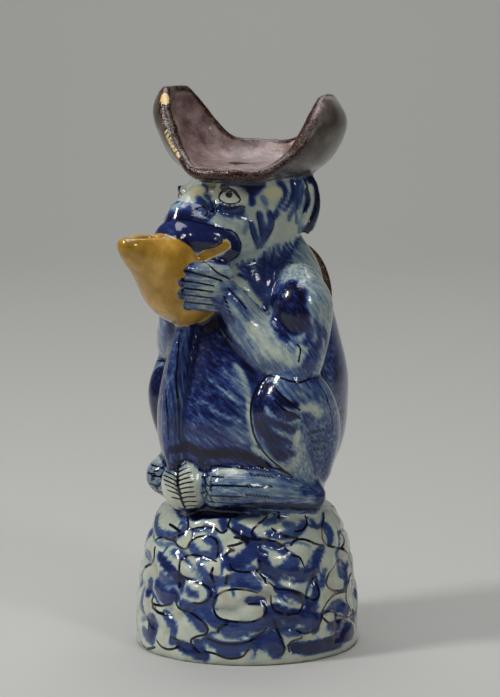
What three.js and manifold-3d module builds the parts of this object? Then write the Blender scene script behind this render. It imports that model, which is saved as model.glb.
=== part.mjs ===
// A tin-glazed earthenware jug in the shape of a seated monkey.
//
// The monkey sits on a round rockwork plinth, knees up and feet drawn in, and drinks from a shell that
// it holds in both hands. Liquid is filled in through the dished hat, whose floor has a hole into the
// hollow head, and is poured from the slit on top of the shell. A short strap handle spans the nape.
// The whole jug is one hollow fired piece, so it is one mesh.
//
// Millimetres. +Z is up, the monkey faces -Y and its left side is +X. The origin is the centre of the
// flat underside. The figure is written in units of a figure 161 units high, measured from the seat on
// top of the plinth, and is scaled to FIGURE_HEIGHT.

import * as THREE from 'three';
import { mergeVertices } from 'three/addons/utils/BufferGeometryUtils.js';
import Module from 'manifold-3d';

const wasm = await Module();
wasm.setup();

// Plinth
const BASE_RADIUS = 43.5;
const BASE_TOP_RADIUS = 33;
const BASE_HEIGHT = 54;
const FOOT_BAND = 3;
const ROCK_RELIEF = 2.4;
const ROCK_ROWS = 5;
const ROCKS_PER_ROW = 15;

// Figure
const FIGURE_HEIGHT = 161;

// Vessel
const WALL = 4.5;
const FLOOR = 6;
const FILL_HOLE = 16;

// Hat
const HAT_THICKNESS = 4.8;
const HAT_TURN = THREE.MathUtils.degToRad(35);

// Shell spout
const SHELL_WALL = 3.2;
const SPOUT_BORE = 8;
const SLIT_LENGTH = 14;
const SLIT_WIDTH = 7;

// Handle
const HANDLE_WIDTH = 9;
const HANDLE_THICKNESS = 5;

const SCALE = FIGURE_HEIGHT / 161;
const TAU = 2 * Math.PI;
const { smoothstep, lerp, clamp, degToRad, radToDeg } = THREE.MathUtils;

/** A point of the figure, given in design units above the seat. */
const at = (x, y, z) => new THREE.Vector3(x * SCALE, y * SCALE, BASE_HEIGHT + z * SCALE);

// Mesh helpers

/** Turns a closed geometry into a solid that can be joined and cut. */
function solid(geometry) {
  geometry.deleteAttribute('normal');
  geometry.deleteAttribute('uv');
  const merged = mergeVertices(geometry, 1e-4);
  return new wasm.Manifold(new wasm.Mesh({
    numProp: 3,
    vertProperties: new Float32Array(merged.attributes.position.array),
    triVerts: new Uint32Array(merged.index.array),
  }));
}

function geometryOf(manifold) {
  const mesh = manifold.getMesh();
  const geometry = new THREE.BufferGeometry();
  geometry.setAttribute('position', new THREE.BufferAttribute(mesh.vertProperties, 3));
  geometry.setIndex(new THREE.BufferAttribute(mesh.triVerts, 1));
  return geometry;
}

/** Skins closed rings of equal count. The ends are closed to their middles, or joined to each other. */
function skin(rings, joined = false) {
  const sides = rings[0].length;
  const points = rings.flat();
  const index = [];
  const spans = joined ? rings.length : rings.length - 1;
  for (let r = 0; r < spans; r++) {
    const a = r * sides;
    const b = ((r + 1) % rings.length) * sides;
    for (let s = 0; s < sides; s++) {
      const t = (s + 1) % sides;
      index.push(a + s, a + t, b + t, a + s, b + t, b + s);
    }
  }
  if (!joined) {
    const middleOf = (ring) => ring.reduce((sum, p) => sum.add(p), new THREE.Vector3()).divideScalar(sides);
    const last = (rings.length - 1) * sides;
    points.push(middleOf(rings[0]), middleOf(rings[rings.length - 1]));
    for (let s = 0; s < sides; s++) {
      const t = (s + 1) % sides;
      index.push(points.length - 2, t, s);
      index.push(points.length - 1, last + s, last + t);
    }
  }
  const geometry = new THREE.BufferGeometry().setFromPoints(points);
  geometry.setIndex(index);
  return geometry;
}

/** A level ring round the z axis: half width, half depth, and how far its middle lies back. */
function levelRing(halfWidth, halfDepth, back, z, sides) {
  return Array.from({ length: sides }, (_, s) => {
    const angle = (s / sides) * TAU;
    return new THREE.Vector3(halfWidth * Math.cos(angle), back + halfDepth * Math.sin(angle), z);
  });
}

/** Reads a smooth curve through table rows [position, value, value, ...] at a position. */
function along(table, position) {
  const last = table.length - 1;
  let i = 0;
  while (i < last - 1 && position > table[i + 1][0]) i++;
  const t = clamp((position - table[i][0]) / (table[i + 1][0] - table[i][0]), 0, 1);
  const before = table[Math.max(i - 1, 0)];
  const after = table[Math.min(i + 2, last)];
  const t2 = t * t;
  const t3 = t2 * t;
  return table[i].slice(1).map((value, k) => {
    const next = table[i + 1][k + 1];
    const slopeIn = (next - before[k + 1]) / 2;
    const slopeOut = (after[k + 1] - value) / 2;
    return (2 * t3 - 3 * t2 + 1) * value + (t3 - 2 * t2 + t) * slopeIn
      + (3 * t2 - 2 * t3) * next + (t3 - t2) * slopeOut;
  });
}

/**
 * A rounded limb through joints [x, y, z, radius]. flat squeezes it along its up side, and fine limbs
 * get one ring more on each round end.
 */
function limb(joints, { sides = 10, steps = 4, flat = 1, up = [0, 0, 1] } = {}) {
  const path = new THREE.CatmullRomCurve3(joints.map(([x, y, z]) => at(x, y, z)), false, 'centripetal');
  const radii = joints.map((joint, i) => [i / (joints.length - 1), joint[3] * SCALE]);
  const upward = new THREE.Vector3(...up);
  const ring = (t, slide, shrink) => {
    const middle = path.getPoint(t);
    const tangent = path.getTangent(t);
    const across = new THREE.Vector3().crossVectors(upward, tangent).normalize();
    const raised = new THREE.Vector3().crossVectors(tangent, across);
    const radius = along(radii, t)[0];
    middle.addScaledVector(tangent, slide * radius);
    return Array.from({ length: sides }, (_, s) => {
      const angle = (s / sides) * TAU;
      return middle.clone()
        .addScaledVector(across, radius * shrink * Math.cos(angle))
        .addScaledVector(raised, radius * shrink * flat * Math.sin(angle));
    });
  };
  const round = (sides > 6 ? [75, 40] : [55]).map(degToRad);
  const rings = [
    ...round.map((angle) => ring(0, -Math.sin(angle), Math.cos(angle))),
    ...Array.from({ length: steps + 1 }, (_, i) => ring(i / steps, 0, 1)),
    ...round.slice().reverse().map((angle) => ring(1, Math.sin(angle), Math.cos(angle))),
  ];
  return solid(skin(rings));
}

/** An egg: middle and half sizes, turned by degrees about z. */
function egg(middle, half, turn = 0, wide = 12, high = 8) {
  const geometry = new THREE.SphereGeometry(1, wide, high);
  geometry.rotateX(Math.PI / 2);
  geometry.scale(half[0] * SCALE, half[1] * SCALE, half[2] * SCALE);
  geometry.rotateZ(degToRad(turn));
  const place = at(...middle);
  geometry.translate(place.x, place.y, place.z);
  return solid(geometry);
}

const joinAll = (solids) => solids.reduce((whole, next) => whole.add(next));

/** The same solid on both sides of the body. */
const bothSides = (one) => [one, one.mirror([1, 0, 0])];

// Plinth

/** Height of the modelled rocks, 0 to 1, on the plinth's side: staggered pillows with wandering joints. */
function rocks(angle, share) {
  const wander = 0.16 * Math.sin(3 * angle + 5 * share) + 0.1 * Math.sin(7 * angle - 9 * share);
  const lift = 0.055 * Math.sin(4 * angle + 1) + 0.04 * Math.sin(9 * angle + 8 * share);
  const level = (share + lift) * ROCK_ROWS;
  const row = Math.floor(level);
  const column = ((angle + wander) / TAU) * ROCKS_PER_ROW + 0.5 * (row % 2);
  const side = Math.abs(2 * (column - Math.floor(column)) - 1);
  const height = Math.abs(2 * (level - row) - 1);
  return clamp(1.25 * (1 - side ** 4) * (1 - height ** 4), 0, 1);
}

/** Plinth radius before the rocks, at a share of its height: a cone with a rounded shoulder. */
function baseRadius(share) {
  const shoulder = BASE_RADIUS - BASE_TOP_RADIUS;
  return BASE_RADIUS - 0.33 * shoulder * share - 0.67 * shoulder * share ** 4;
}

function plinth() {
  const sides = 60;
  const levels = 9;
  const bandTop = FOOT_BAND / BASE_HEIGHT;
  const ring = (share, relief) => Array.from({ length: sides }, (_, s) => {
    const angle = (s / sides) * TAU;
    const radius = baseRadius(share) + (relief ? ROCK_RELIEF * (rocks(angle, share) - 0.6) : 0);
    return new THREE.Vector3(radius * Math.cos(angle), radius * Math.sin(angle), share * BASE_HEIGHT);
  });
  const rings = [ring(0, false), ring(bandTop, false)];
  for (let i = 1; i <= levels; i++) rings.push(ring(lerp(bandTop, 1, i / levels), i < levels));
  return solid(skin(rings));
}

// Body. Rows are height above the seat, half width, half depth, and how far the middle lies back.
const TORSO = [
  [-4, 28, 29, 0],
  [6, 28.5, 31, 0.5],
  [13, 29.5, 33.5, 1.5],
  [20, 31, 37.5, 2.5],
  [28, 32, 40.5, 3],
  [38, 32, 41.5, 3.5],
  [48, 32, 40.5, 4.5],
  [56, 31, 38.5, 5],
  [64, 29.5, 36, 5],
  [72, 28, 33.5, 5],
  [84, 25, 29, 5],
  [94, 20, 22, 3],
];

function torso(inset, low, high, sides, steps) {
  const rings = Array.from({ length: steps + 1 }, (_, i) => {
    const height = lerp(low, high, i / steps);
    const [halfWidth, halfDepth, back] = along(TORSO, height).map((size) => size * SCALE);
    return levelRing(halfWidth - inset, halfDepth - inset, back, BASE_HEIGHT + height * SCALE, sides);
  });
  return solid(skin(rings));
}

// Legs, drawn up at the sides, with long feet that meet in front round the tuft of the tail
const THIGH = [[22, 9, 17, 11], [28, 5, 32, 12.5], [31, -2, 44, 12], [31, -7, 49, 9.6]];
const SHIN = [[30.5, -8, 50, 9.4], [28.4, -10.6, 42, 11.3], [27, -9, 30, 10.8], [26.5, -3, 17, 9], [30, 3, 6, 6.8]];
const FOOT = [[30.5, 3, 6.5, 6.4], [28, -10, 9, 7.2], [22, -21, 11.5, 7.6], [15.5, -27.5, 12.3, 7.6]];

function toes() {
  return [0, 1, 2, 3, 4].map((n) => {
    const height = 18.8 - 3.2 * n;
    const out = 1.2 * Math.sin((n / 4) * Math.PI);
    return limb([[20, -26 - out, height, 2.1], [11.5, -31 - out, height, 2]], { sides: 5, steps: 1 });
  });
}

// Arms, bent at the elbows on the knees, with both hands on the shell
const UPPER_ARM = [[26, 1, 86, 10], [30, -1, 80, 12], [30.5, -1.5, 70, 11], [31, -4, 60, 10]];
const FOREARM = [[31, -4.5, 60, 10.2], [25.5, -11, 64, 9.8], [18.8, -17.5, 71, 8.6], [15.5, -24, 81.5, 6.4]];

function hand() {
  const palm = egg([12.4, -32, 87.4], [4.9, 10.5, 8.2], -21, 10, 8);
  const fingers = [0, 1, 2, 3].map((n) => {
    const reach = [-43, -44.8, -44.4, -41.4][n];
    const height = 95.2 - 4.1 * n;
    return limb([[15, -30, height - 2, 2.7], [12.2, -37, height - 0.5, 2.7], [9.4, reach, height - 0.5, 2.3]],
      { sides: 5, steps: 2 });
  });
  const thumb = limb([[15.5, -26, 92, 3.2], [12.5, -29, 96, 2.8], [9, -32, 98, 2.4]], { sides: 5, steps: 2 });
  return joinAll([palm, ...fingers, thumb]);
}

// Tail, standing in front of the belly, with its tuft between the feet
const TAIL = [[0, -34, 10, 3], [0, -39.5, 26, 3.8], [0, -40, 42, 4], [0, -37, 58, 3.8], [0, -32, 74, 3.4]];
const TUFT = { middle: [0.5, -33.5, 12], half: [9.6, 9.2, 10.4] };

// Head and neck. Rows are height above the seat, half width, half depth, and how far the middle lies back.
const HEAD = [
  [78, 18, 19, 3],
  [86, 19.5, 20.5, 1.5],
  [94, 20.5, 21.5, 0.5],
  [102, 20.5, 22.5, -1],
  [110, 20.7, 23.2, -2],
  [118, 20.7, 23.2, -2],
  [125, 20, 22, -2],
  [130, 18, 19, -1],
];
const MUZZLE = [[0, -14, 105, 15], [0, -25, 104.5, 12.5], [0, -33.5, 106.5, 9.5], [0, -39.5, 108.5, 6.5]];

function head(inset, low, high, sides, steps) {
  const rings = Array.from({ length: steps + 1 }, (_, i) => {
    const height = lerp(low, high, i / steps);
    const [halfWidth, halfDepth, back] = along(HEAD, height).map((size) => size * SCALE);
    return levelRing(halfWidth - inset, halfDepth - inset, back, BASE_HEIGHT + height * SCALE, sides);
  });
  return solid(skin(rings));
}

function face() {
  const muzzle = limb(MUZZLE, { sides: 12, steps: 4, flat: 0.76 });
  const bridge = limb([[0, -18, 123, 7], [0, -30, 113.5, 5.5]], { sides: 7, steps: 1 });
  const nose = egg([0, -33.5, 112.6], [6.5, 6.1, 5.1], 0, 10, 6);
  const eye = egg([11, -18.9, 121.7], [5.8, 5.4, 5], 30, 8, 6);
  const lip = limb([[15.3, -23, 101.5, 3.6], [11, -32, 106.2, 4.2], [0, -42.5, 108.3, 4]], { sides: 6, steps: 4 });
  const lowerLip = limb([[15.3, -22.5, 101, 3.5], [9, -28, 96.5, 3.4], [0, -30, 95, 3.3]], { sides: 6, steps: 3 });
  return joinAll([muzzle, bridge, nose, ...bothSides(eye), ...bothSides(lip), ...bothSides(lowerLip)]);
}

/** An ear: a flat rim that stands off the head, hollowed in front. */
function ear() {
  const plate = egg([20.7, 11.3, 117.5], [6, 2.8, 12.3], 68, 10, 8);
  const hollow = egg([23.6, 10, 117.5], [3.2, 2, 8.6], 68, 8, 6);
  return plate.subtract(hollow);
}

// Hat: a thick dish set askew, turned up high on two sides and a little behind. Its profile from the
// crown out to the rim, as radius and height above the seat, where the brim is low and where it is high.
const LOW_BRIM = [[5, 127.6], [13, 127.3], [20, 127.2], [25, 127.2], [29, 127.2], [32, 127.3], [35, 127.5]];
const HIGH_BRIM = [[5, 127.6], [16, 128], [25.5, 130], [32, 136], [36, 145.5], [36.2, 153.5], [31.5, 162]];
const HAT_OFFSET = new THREE.Vector3(1.2, 1.2, 0).multiplyScalar(SCALE);

/** How far the brim is turned up, 0 to 1, at an angle from the hat's own front. */
function brimLift(angle) {
  const degrees = Math.abs(radToDeg(Math.atan2(Math.sin(angle), Math.cos(angle))));
  return smoothstep(degrees, 14, 80) - 0.75 * smoothstep(degrees, 115, 165);
}

function hat() {
  const around = 38;
  const spans = 6;
  const rings = Array.from({ length: around }, (_, i) => {
    const angle = (i / around) * TAU;
    const lift = brimLift(angle);
    const compass = angle + HAT_TURN - Math.PI / 2;
    const profile = new THREE.SplineCurve(LOW_BRIM.map(([radius, height], k) => new THREE.Vector2(
      lerp(radius, HIGH_BRIM[k][0], lift),
      lerp(height, HIGH_BRIM[k][1], lift),
    ).multiplyScalar(SCALE)));
    const place = (t, inward) => {
      const point = profile.getPoint(t);
      const tangent = profile.getTangent(t);
      const radius = point.x - tangent.y * inward;
      const height = BASE_HEIGHT + point.y + tangent.x * inward;
      return new THREE.Vector3(radius * Math.cos(compass), radius * Math.sin(compass), height).add(HAT_OFFSET);
    };
    const over = Array.from({ length: spans + 1 }, (_, k) => place(k / spans, HAT_THICKNESS));
    const under = Array.from({ length: spans + 1 }, (_, k) => place(1 - k / spans, 0));
    return [...over, ...under];
  });
  return solid(skin(rings, true));
}

// Shell: rows are how far forward, half width, half height, and height of the middle
const SHELL = [
  [18, 8, 9, 88],
  [25, 10.5, 13, 88],
  [31, 12.5, 16, 89],
  [38, 12.8, 16.4, 90.2],
  [46, 10.8, 13.8, 92.6],
  [52, 8.4, 10.2, 96.6],
  [57, 6.4, 7, 100],
  [61, 5.2, 5.2, 102.3],
  [65.5, 2.4, 2.6, 104.6],
];

function shell(inset, from, to, sides, steps) {
  const rings = Array.from({ length: steps + 1 }, (_, i) => {
    const forward = lerp(from, to, i / steps);
    const [halfWidth, halfHeight, height] = along(SHELL, forward).map((size) => size * SCALE);
    return Array.from({ length: sides }, (_, s) => {
      const angle = (s / sides) * TAU;
      return new THREE.Vector3(
        (halfWidth - inset) * Math.cos(angle),
        -forward * SCALE,
        BASE_HEIGHT + height + (halfHeight - inset) * Math.sin(angle),
      );
    });
  });
  return solid(skin(rings));
}

// Handle: a strap from the nape to the shoulders
const HANDLE = [[0, 17, 97], [0, 28, 99.5], [0, 37, 96], [0, 41.5, 89], [0, 43, 80], [0, 37, 68]];

function handle() {
  const path = new THREE.CatmullRomCurve3(HANDLE.map((point) => at(...point)), false, 'centripetal');
  const steps = 10;
  const sides = 8;
  const rings = Array.from({ length: steps + 1 }, (_, i) => {
    const middle = path.getPoint(i / steps);
    const out = path.getTangent(i / steps).cross(new THREE.Vector3(1, 0, 0));
    return Array.from({ length: sides }, (_, s) => {
      const angle = (s / sides) * TAU;
      return middle.clone().setX((HANDLE_WIDTH / 2) * Math.cos(angle))
        .addScaledVector(out, (HANDLE_THICKNESS / 2) * Math.sin(angle));
    });
  });
  return solid(skin(rings));
}

// Hollow inside

function baseHollow() {
  const steps = 5;
  const rings = Array.from({ length: steps + 1 }, (_, i) => {
    const height = lerp(FLOOR, BASE_HEIGHT, i / steps);
    const radius = baseRadius(height / BASE_HEIGHT) - WALL - ROCK_RELIEF / 2;
    const waist = Math.min(radius, (TORSO[0][1]) * SCALE - WALL);
    const narrowed = lerp(radius, waist, smoothstep(height / BASE_HEIGHT, 0.7, 1));
    return levelRing(narrowed, narrowed, 0, height, 20);
  });
  return solid(skin(rings));
}

/** A round hole of a given width along z, from one height above the seat to another. */
function upright(width, length, middle, low, high) {
  const hole = new THREE.CylinderGeometry(0.5, 0.5, (high - low) * SCALE, 16);
  hole.rotateX(Math.PI / 2);
  hole.scale(width, length, 1);
  const place = at(...middle, (low + high) / 2);
  hole.translate(place.x, place.y, place.z);
  return solid(hole);
}

function spoutHollow() {
  const radius = SPOUT_BORE / SCALE / 2;
  const bore = limb([[0, -6, 94, radius], [0, -32, 92, radius]], { sides: 10, steps: 1 });
  return joinAll([
    shell(SHELL_WALL, 25, 58, 12, 5),
    bore,
    upright(SLIT_WIDTH, SLIT_LENGTH, [0, -50.5], 97, 107.5),
  ]);
}

function jug() {
  const outside = joinAll([
    plinth(),
    torso(0, -4, 94, 26, 10),
    ...bothSides(limb(THIGH, { up: [1, 0, 0] })),
    ...bothSides(limb(SHIN, { up: [1, 0, 0] })),
    ...bothSides(limb(FOOT, { flat: 1.12 })),
    ...toes().flatMap(bothSides),
    ...bothSides(limb(UPPER_ARM, { up: [1, 0, 0] })),
    ...bothSides(limb(FOREARM, { up: [1, 0, 0] })),
    ...bothSides(hand()),
    limb(TAIL, { sides: 8, steps: 6, up: [0, 1, 0] }),
    egg(TUFT.middle, TUFT.half, 0, 12, 8),
    egg([0, -6, 84], [23, 20, 22], 0, 14, 8),
    head(0, 78, 130, 22, 8),
    face(),
    ...bothSides(ear()),
    hat(),
    shell(0, 18, 65.5, 14, 9),
    handle(),
  ]);
  const inside = joinAll([
    baseHollow(),
    torso(WALL, -1.5, 92, 16, 6),
    head(WALL, 80, 124, 14, 5),
    upright(FILL_HOLE, FILL_HOLE, [0, 0], 118, 138),
    spoutHollow(),
  ]);
  return outside.subtract(inside);
}

const glaze = new THREE.MeshStandardMaterial({ color: 0xc9d2c6, roughness: 0.12, metalness: 0 });

const model = new THREE.Group();
const body = new THREE.Mesh(geometryOf(jug()), glaze);
body.name = 'monkey_jug';
model.add(body);

export default model;
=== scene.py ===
import math

import bpy
import numpy as np
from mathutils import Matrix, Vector, noise
from mathutils.bvhtree import BVHTree


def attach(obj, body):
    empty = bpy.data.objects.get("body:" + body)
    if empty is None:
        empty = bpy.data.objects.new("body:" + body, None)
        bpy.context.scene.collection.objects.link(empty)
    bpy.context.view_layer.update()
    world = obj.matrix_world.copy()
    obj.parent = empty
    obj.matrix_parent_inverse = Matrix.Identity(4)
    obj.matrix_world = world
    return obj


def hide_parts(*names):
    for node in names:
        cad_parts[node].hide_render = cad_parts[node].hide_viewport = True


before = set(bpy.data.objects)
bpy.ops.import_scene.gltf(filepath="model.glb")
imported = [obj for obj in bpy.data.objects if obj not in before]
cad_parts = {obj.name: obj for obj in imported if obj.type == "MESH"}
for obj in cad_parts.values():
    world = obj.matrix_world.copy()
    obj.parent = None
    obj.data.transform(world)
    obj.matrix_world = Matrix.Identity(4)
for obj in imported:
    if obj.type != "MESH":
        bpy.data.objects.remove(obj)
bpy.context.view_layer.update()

# Camera: a long lens level with the monkey's chest, an eighth of a turn round from its face towards
# its left side, as in the photo. The whole jug stands in the frame with a little air all round.
PHOTO_WIDTH = 500
PHOTO_HEIGHT = 697
bpy.ops.object.camera_add(
    location=(0.70711, -0.70711, 0.244),
    rotation=(math.radians(90 - 7.364), 0, math.radians(45)),
)
camera = bpy.context.object
camera.name = "photo_camera"
camera.data.lens = 134.86
camera.data.sensor_width = 36
camera.data.shift_x = 3 / PHOTO_HEIGHT
bpy.context.scene.camera = camera


# Plinth: press-moulded rockwork, a drum that draws in towards the top, with rows of worn lumps.
# The clay lumps run into each other, and the foot is a plain band that stands flat on the table.
BASE_RADIUS = 43.5
BASE_DRAW_IN = 10.5
SEAT = 54.0
FOOT_BAND = 3
ROCK_RELIEF = 2.4
ROCK_ROWS = 5
ROCKS_PER_ROW = 15


def place(row):
    """A point in millimetres above the seat, as metres above the table."""
    return Vector((row[0] / 1000, row[1] / 1000, (row[2] + SEAT) / 1000))


def tube(name, rings, sides, spot):
    """A bar of rings extruded one by one, whose corners then go to spot(share along, angle)."""
    bpy.ops.object.select_all(action="DESELECT")
    bpy.ops.mesh.primitive_circle_add(vertices=sides, radius=1, fill_type="NGON")
    made = bpy.context.object
    made.name = name
    bpy.ops.object.mode_set(mode="EDIT")
    bpy.ops.mesh.select_all(action="SELECT")
    for _ in range(rings - 1):
        bpy.ops.mesh.extrude_region_move(TRANSFORM_OT_translate={"value": (0, 0, 1)})
    bpy.ops.object.mode_set(mode="OBJECT")
    for corner in made.data.vertices:
        share = round(corner.co.z) / (rings - 1)
        corner.co = place(spot(share, math.atan2(corner.co.y, corner.co.x)))
    bpy.ops.object.mode_set(mode="EDIT")
    bpy.ops.mesh.select_all(action="SELECT")
    bpy.ops.mesh.normals_make_consistent(inside=False)
    bpy.ops.object.mode_set(mode="OBJECT")
    return made


def rocks(angle, share):
    """Height of the rockwork lumps, 0 in the clefts to 1 on top."""
    wander = 0.16 * math.sin(3 * angle + 5 * share) + 0.1 * math.sin(7 * angle - 9 * share)
    lift = 0.055 * math.sin(4 * angle + 1) + 0.04 * math.sin(9 * angle + 8 * share)
    level = (share + lift) * ROCK_ROWS
    row = math.floor(level)
    column = (angle + wander) / (2 * math.pi) * ROCKS_PER_ROW + 0.5 * (row % 2)
    side = abs(2 * (column % 1) - 1)
    height = abs(2 * (level % 1) - 1)
    return min(max(1.25 * (1 - side**4) * (1 - height**4), 0), 1)


def base_radius(share):
    return BASE_RADIUS - BASE_DRAW_IN * (0.33 * share + 0.67 * share**4)


def plinth_spot(share, angle):
    """A spot of the rockwork: lumps and knocks fade out at the foot band, the top and the widest size."""
    height = share * SEAT
    radius = base_radius(share)
    at = Vector((radius * math.cos(angle), radius * math.sin(angle), height))
    relief = ROCK_RELIEF * (rocks(angle, share) - 0.6)
    relief += 1.1 * noise.noise(at / 7.5) + 0.5 * noise.noise(at / 3.2 + Vector((9, 4, 2)))
    fade = min(1, max(0, (height - FOOT_BAND) / 2)) * min(1, max(0, (1 - share) * 12))
    radius = min(radius + min(relief, 1.0) * fade - 0.5 * max(0, 1 - height), BASE_RADIUS - 0.1)
    return (radius * math.cos(angle), radius * math.sin(angle), height - SEAT)


plinth = tube("plinth", 64, 240, plinth_spot)


# Body: the monkey's trunk and haunches, thrown as one pear-shaped wall of clay. It is widest low
# down at the back, and the belly is a smooth plain curve for the brush.
WALL = 4.5
TORSO = [
    (-4, 28, 29, 0), (6, 28.5, 31, 0.5), (13, 29.5, 33.5, 1.5), (20, 31, 37.5, 2.5),
    (28, 32, 40.5, 3), (38, 32, 41.5, 3.5), (48, 32, 40.5, 4.5), (56, 31, 38.5, 5),
    (64, 29.5, 36, 5), (72, 28, 33.5, 5), (84, 25, 29, 5), (94, 20, 22, 3),
]


def read(table, share):
    """A row of a table at a share of its length, in smooth curves from row to row."""
    count = len(table) - 1
    at = min(max(share, 0), 1) * count
    step = min(int(at), count - 1)
    t = at - step
    rows = [table[min(max(step + k, 0), count)] for k in (-1, 0, 1, 2)]
    return [
        0.5 * (2 * b + (c - a) * t + (2 * a - 5 * b + 4 * c - d) * t * t + (3 * b - a - 3 * c + d) * t**3)
        for a, b, c, d in zip(*rows)
    ]


def column_of(table):
    """The skin of a column with rows of (height, half width, half depth, how far back)."""
    def spot(share, angle):
        height, wide, deep, back = read(table, share)
        return (wide * math.cos(angle), back + deep * math.sin(angle), height)
    return spot


body = tube("body", 48, 72, column_of(TORSO))


# Limbs: arms, legs, hands and feet rolled from clay and luted onto the body on both sides. Toes and
# fingers are rolls laid side by side, and the hands hold the shell between them.
TOES = 5
TOE_PITCH = 3.2
FINGER_TIPS = (-43, -44.8, -44.4, -41.4)
FINGER_PITCH = 4.1


def limb(name, joints, flat=1.0, up=(0, 0, 1), sides=32, rings=26):
    """A roll of clay with round ends along joints of (x, y, z, radius), wider than thick by flat."""
    def spot(share, angle):
        cap = 0.14
        run = min(max((share - cap) / (1 - 2 * cap), 0), 1)
        here = read(joints, run)
        ahead = read(joints, min(run + 0.02, 1))
        behind = read(joints, max(run - 0.02, 0))
        tangent = Vector([a - b for a, b in zip(ahead[:3], behind[:3])]).normalized()
        across = Vector(up).cross(tangent).normalized()
        raised = tangent.cross(across)
        past = (share - cap) / cap if share < cap else (share - 1 + cap) / cap
        past = past if share < cap or share > 1 - cap else 0
        size = here[3] * math.sqrt(max(0, 1 - min(1, abs(past)) ** 2))
        size = max(size, 0.02)
        middle = Vector(here[:3]) + tangent * here[3] * past
        return middle + across * size * flat * math.cos(angle) + raised * size * math.sin(angle)
    return tube(name, rings, sides, spot)


def egg(name, middle, half, turn=0.0, wide=32, high=20):
    """A clay pellet: a sphere squeezed to its half sizes in millimetres and turned about the upright."""
    bpy.ops.object.select_all(action="DESELECT")
    bpy.ops.mesh.primitive_uv_sphere_add(segments=wide, ring_count=high, radius=1, location=place(middle))
    made = bpy.context.object
    made.name = name
    made.scale = [size / 1000 for size in half]
    made.rotation_euler = (0, 0, math.radians(turn))
    bpy.ops.object.transform_apply(location=True, rotation=True, scale=True)
    return made


left = {
    "nape": limb("nape", [(7, 7, 101, 11), (13, 9, 89, 13), (18, 8, 74, 13)], up=(1, 0, 0)),
    "thigh": limb(
        "thigh", [(22, 9, 17, 11), (28, 5, 32, 12.5), (31, -2, 44, 12), (31, -7, 49, 9.6)], up=(1, 0, 0)
    ),
    "shin": limb(
        "shin",
        [(30.5, -8, 50, 9.4), (28.4, -10.6, 42, 11.3), (27, -9, 30, 10.8), (26.5, -3, 17, 9),
         (30, 3, 6, 6.8)],
        up=(1, 0, 0),
    ),
    "foot": limb(
        "foot", [(30.5, 3, 6.5, 6.4), (28, -10, 9, 7.2), (22, -21, 11.5, 7.6), (15.5, -27.5, 12.3, 7.6)],
        flat=1.12,
    ),
    "upper_arm": limb(
        "upper_arm", [(26, 1, 86, 10), (30, -1, 80, 12), (30.5, -1.5, 70, 11), (31, -4, 60, 10)],
        up=(1, 0, 0),
    ),
    "forearm": limb(
        "forearm",
        [(31, -4.5, 60, 10.2), (25.5, -11, 64, 9.8), (18.8, -17.5, 71, 8.6), (15.5, -24, 81.5, 6.4)],
        up=(1, 0, 0),
    ),
    "palm": egg("palm", (12.4, -32, 87.4), (4.9, 10.5, 8.2), -21),
    "thumb": limb(
        "thumb", [(15.5, -26, 92, 3.2), (12.5, -29, 96, 2.8), (9, -32, 98, 2.4)], sides=14, rings=16
    ),
}
for n in range(TOES):
    name = "toe_%d" % n
    out = 1.2 * math.sin(n * math.pi / (TOES - 1))
    high = 18.8 - TOE_PITCH * n
    left[name] = limb(name, [(20, -26 - out, high, 2.1), (11.5, -31 - out, high, 2.0)], sides=14, rings=16)
for n, reach in enumerate(FINGER_TIPS):
    name = "finger_%d" % n
    high = 94.7 - FINGER_PITCH * n
    left[name] = limb(
        name, [(15, -30, high - 1.5, 2.7), (12.2, -37, high, 2.7), (9.4, reach, high, 2.3)],
        sides=14, rings=18,
    )


# Tail: one long roll that comes up between the feet from behind a tufted ball and lies against the
# belly. The ball is a modelled tuft of hair, and both are luted on.
tail = limb(
    "tail", [(0, -34, 10, 3), (0, -39.5, 26, 3.8), (0, -40, 42, 4), (0, -37, 58, 3.8), (0, -32, 74, 3.4)],
    up=(0, 1, 0),
)
tuft = egg("tuft", (0.5, -33.5, 12), (9.6, 9.2, 10.4))


# Head: thrown hollow and joined at the neck. The muzzle, nose, brows, eyes, lips and ears are small
# rolls and pellets of clay pressed on and smoothed over with a wet finger.
HEAD = [
    (78, 18, 19, 3), (86, 19.5, 20.5, 1.5), (94, 20.5, 21.5, 0.5), (102, 20.5, 22.5, -1),
    (110, 20.7, 23.2, -2), (118, 20.7, 23.2, -2), (125, 20, 22, -2), (130, 18, 19, -1),
]
EAR_TURN = 68
RIGHT_EYE_DROP = 1.6


def other_side(made):
    """A second piece of its own, mirrored to the monkey's right."""
    bpy.ops.object.select_all(action="DESELECT")
    made.select_set(True)
    bpy.context.view_layer.objects.active = made
    bpy.ops.object.duplicate()
    twin = bpy.context.object
    bpy.ops.object.mode_set(mode="EDIT")
    bpy.ops.mesh.select_all(action="SELECT")
    bpy.ops.transform.mirror(constraint_axis=(True, False, False), center_override=(0, 0, 0))
    bpy.ops.mesh.normals_make_consistent(inside=False)
    bpy.ops.object.mode_set(mode="OBJECT")
    twin.name = made.name + "_right"
    return twin


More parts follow.
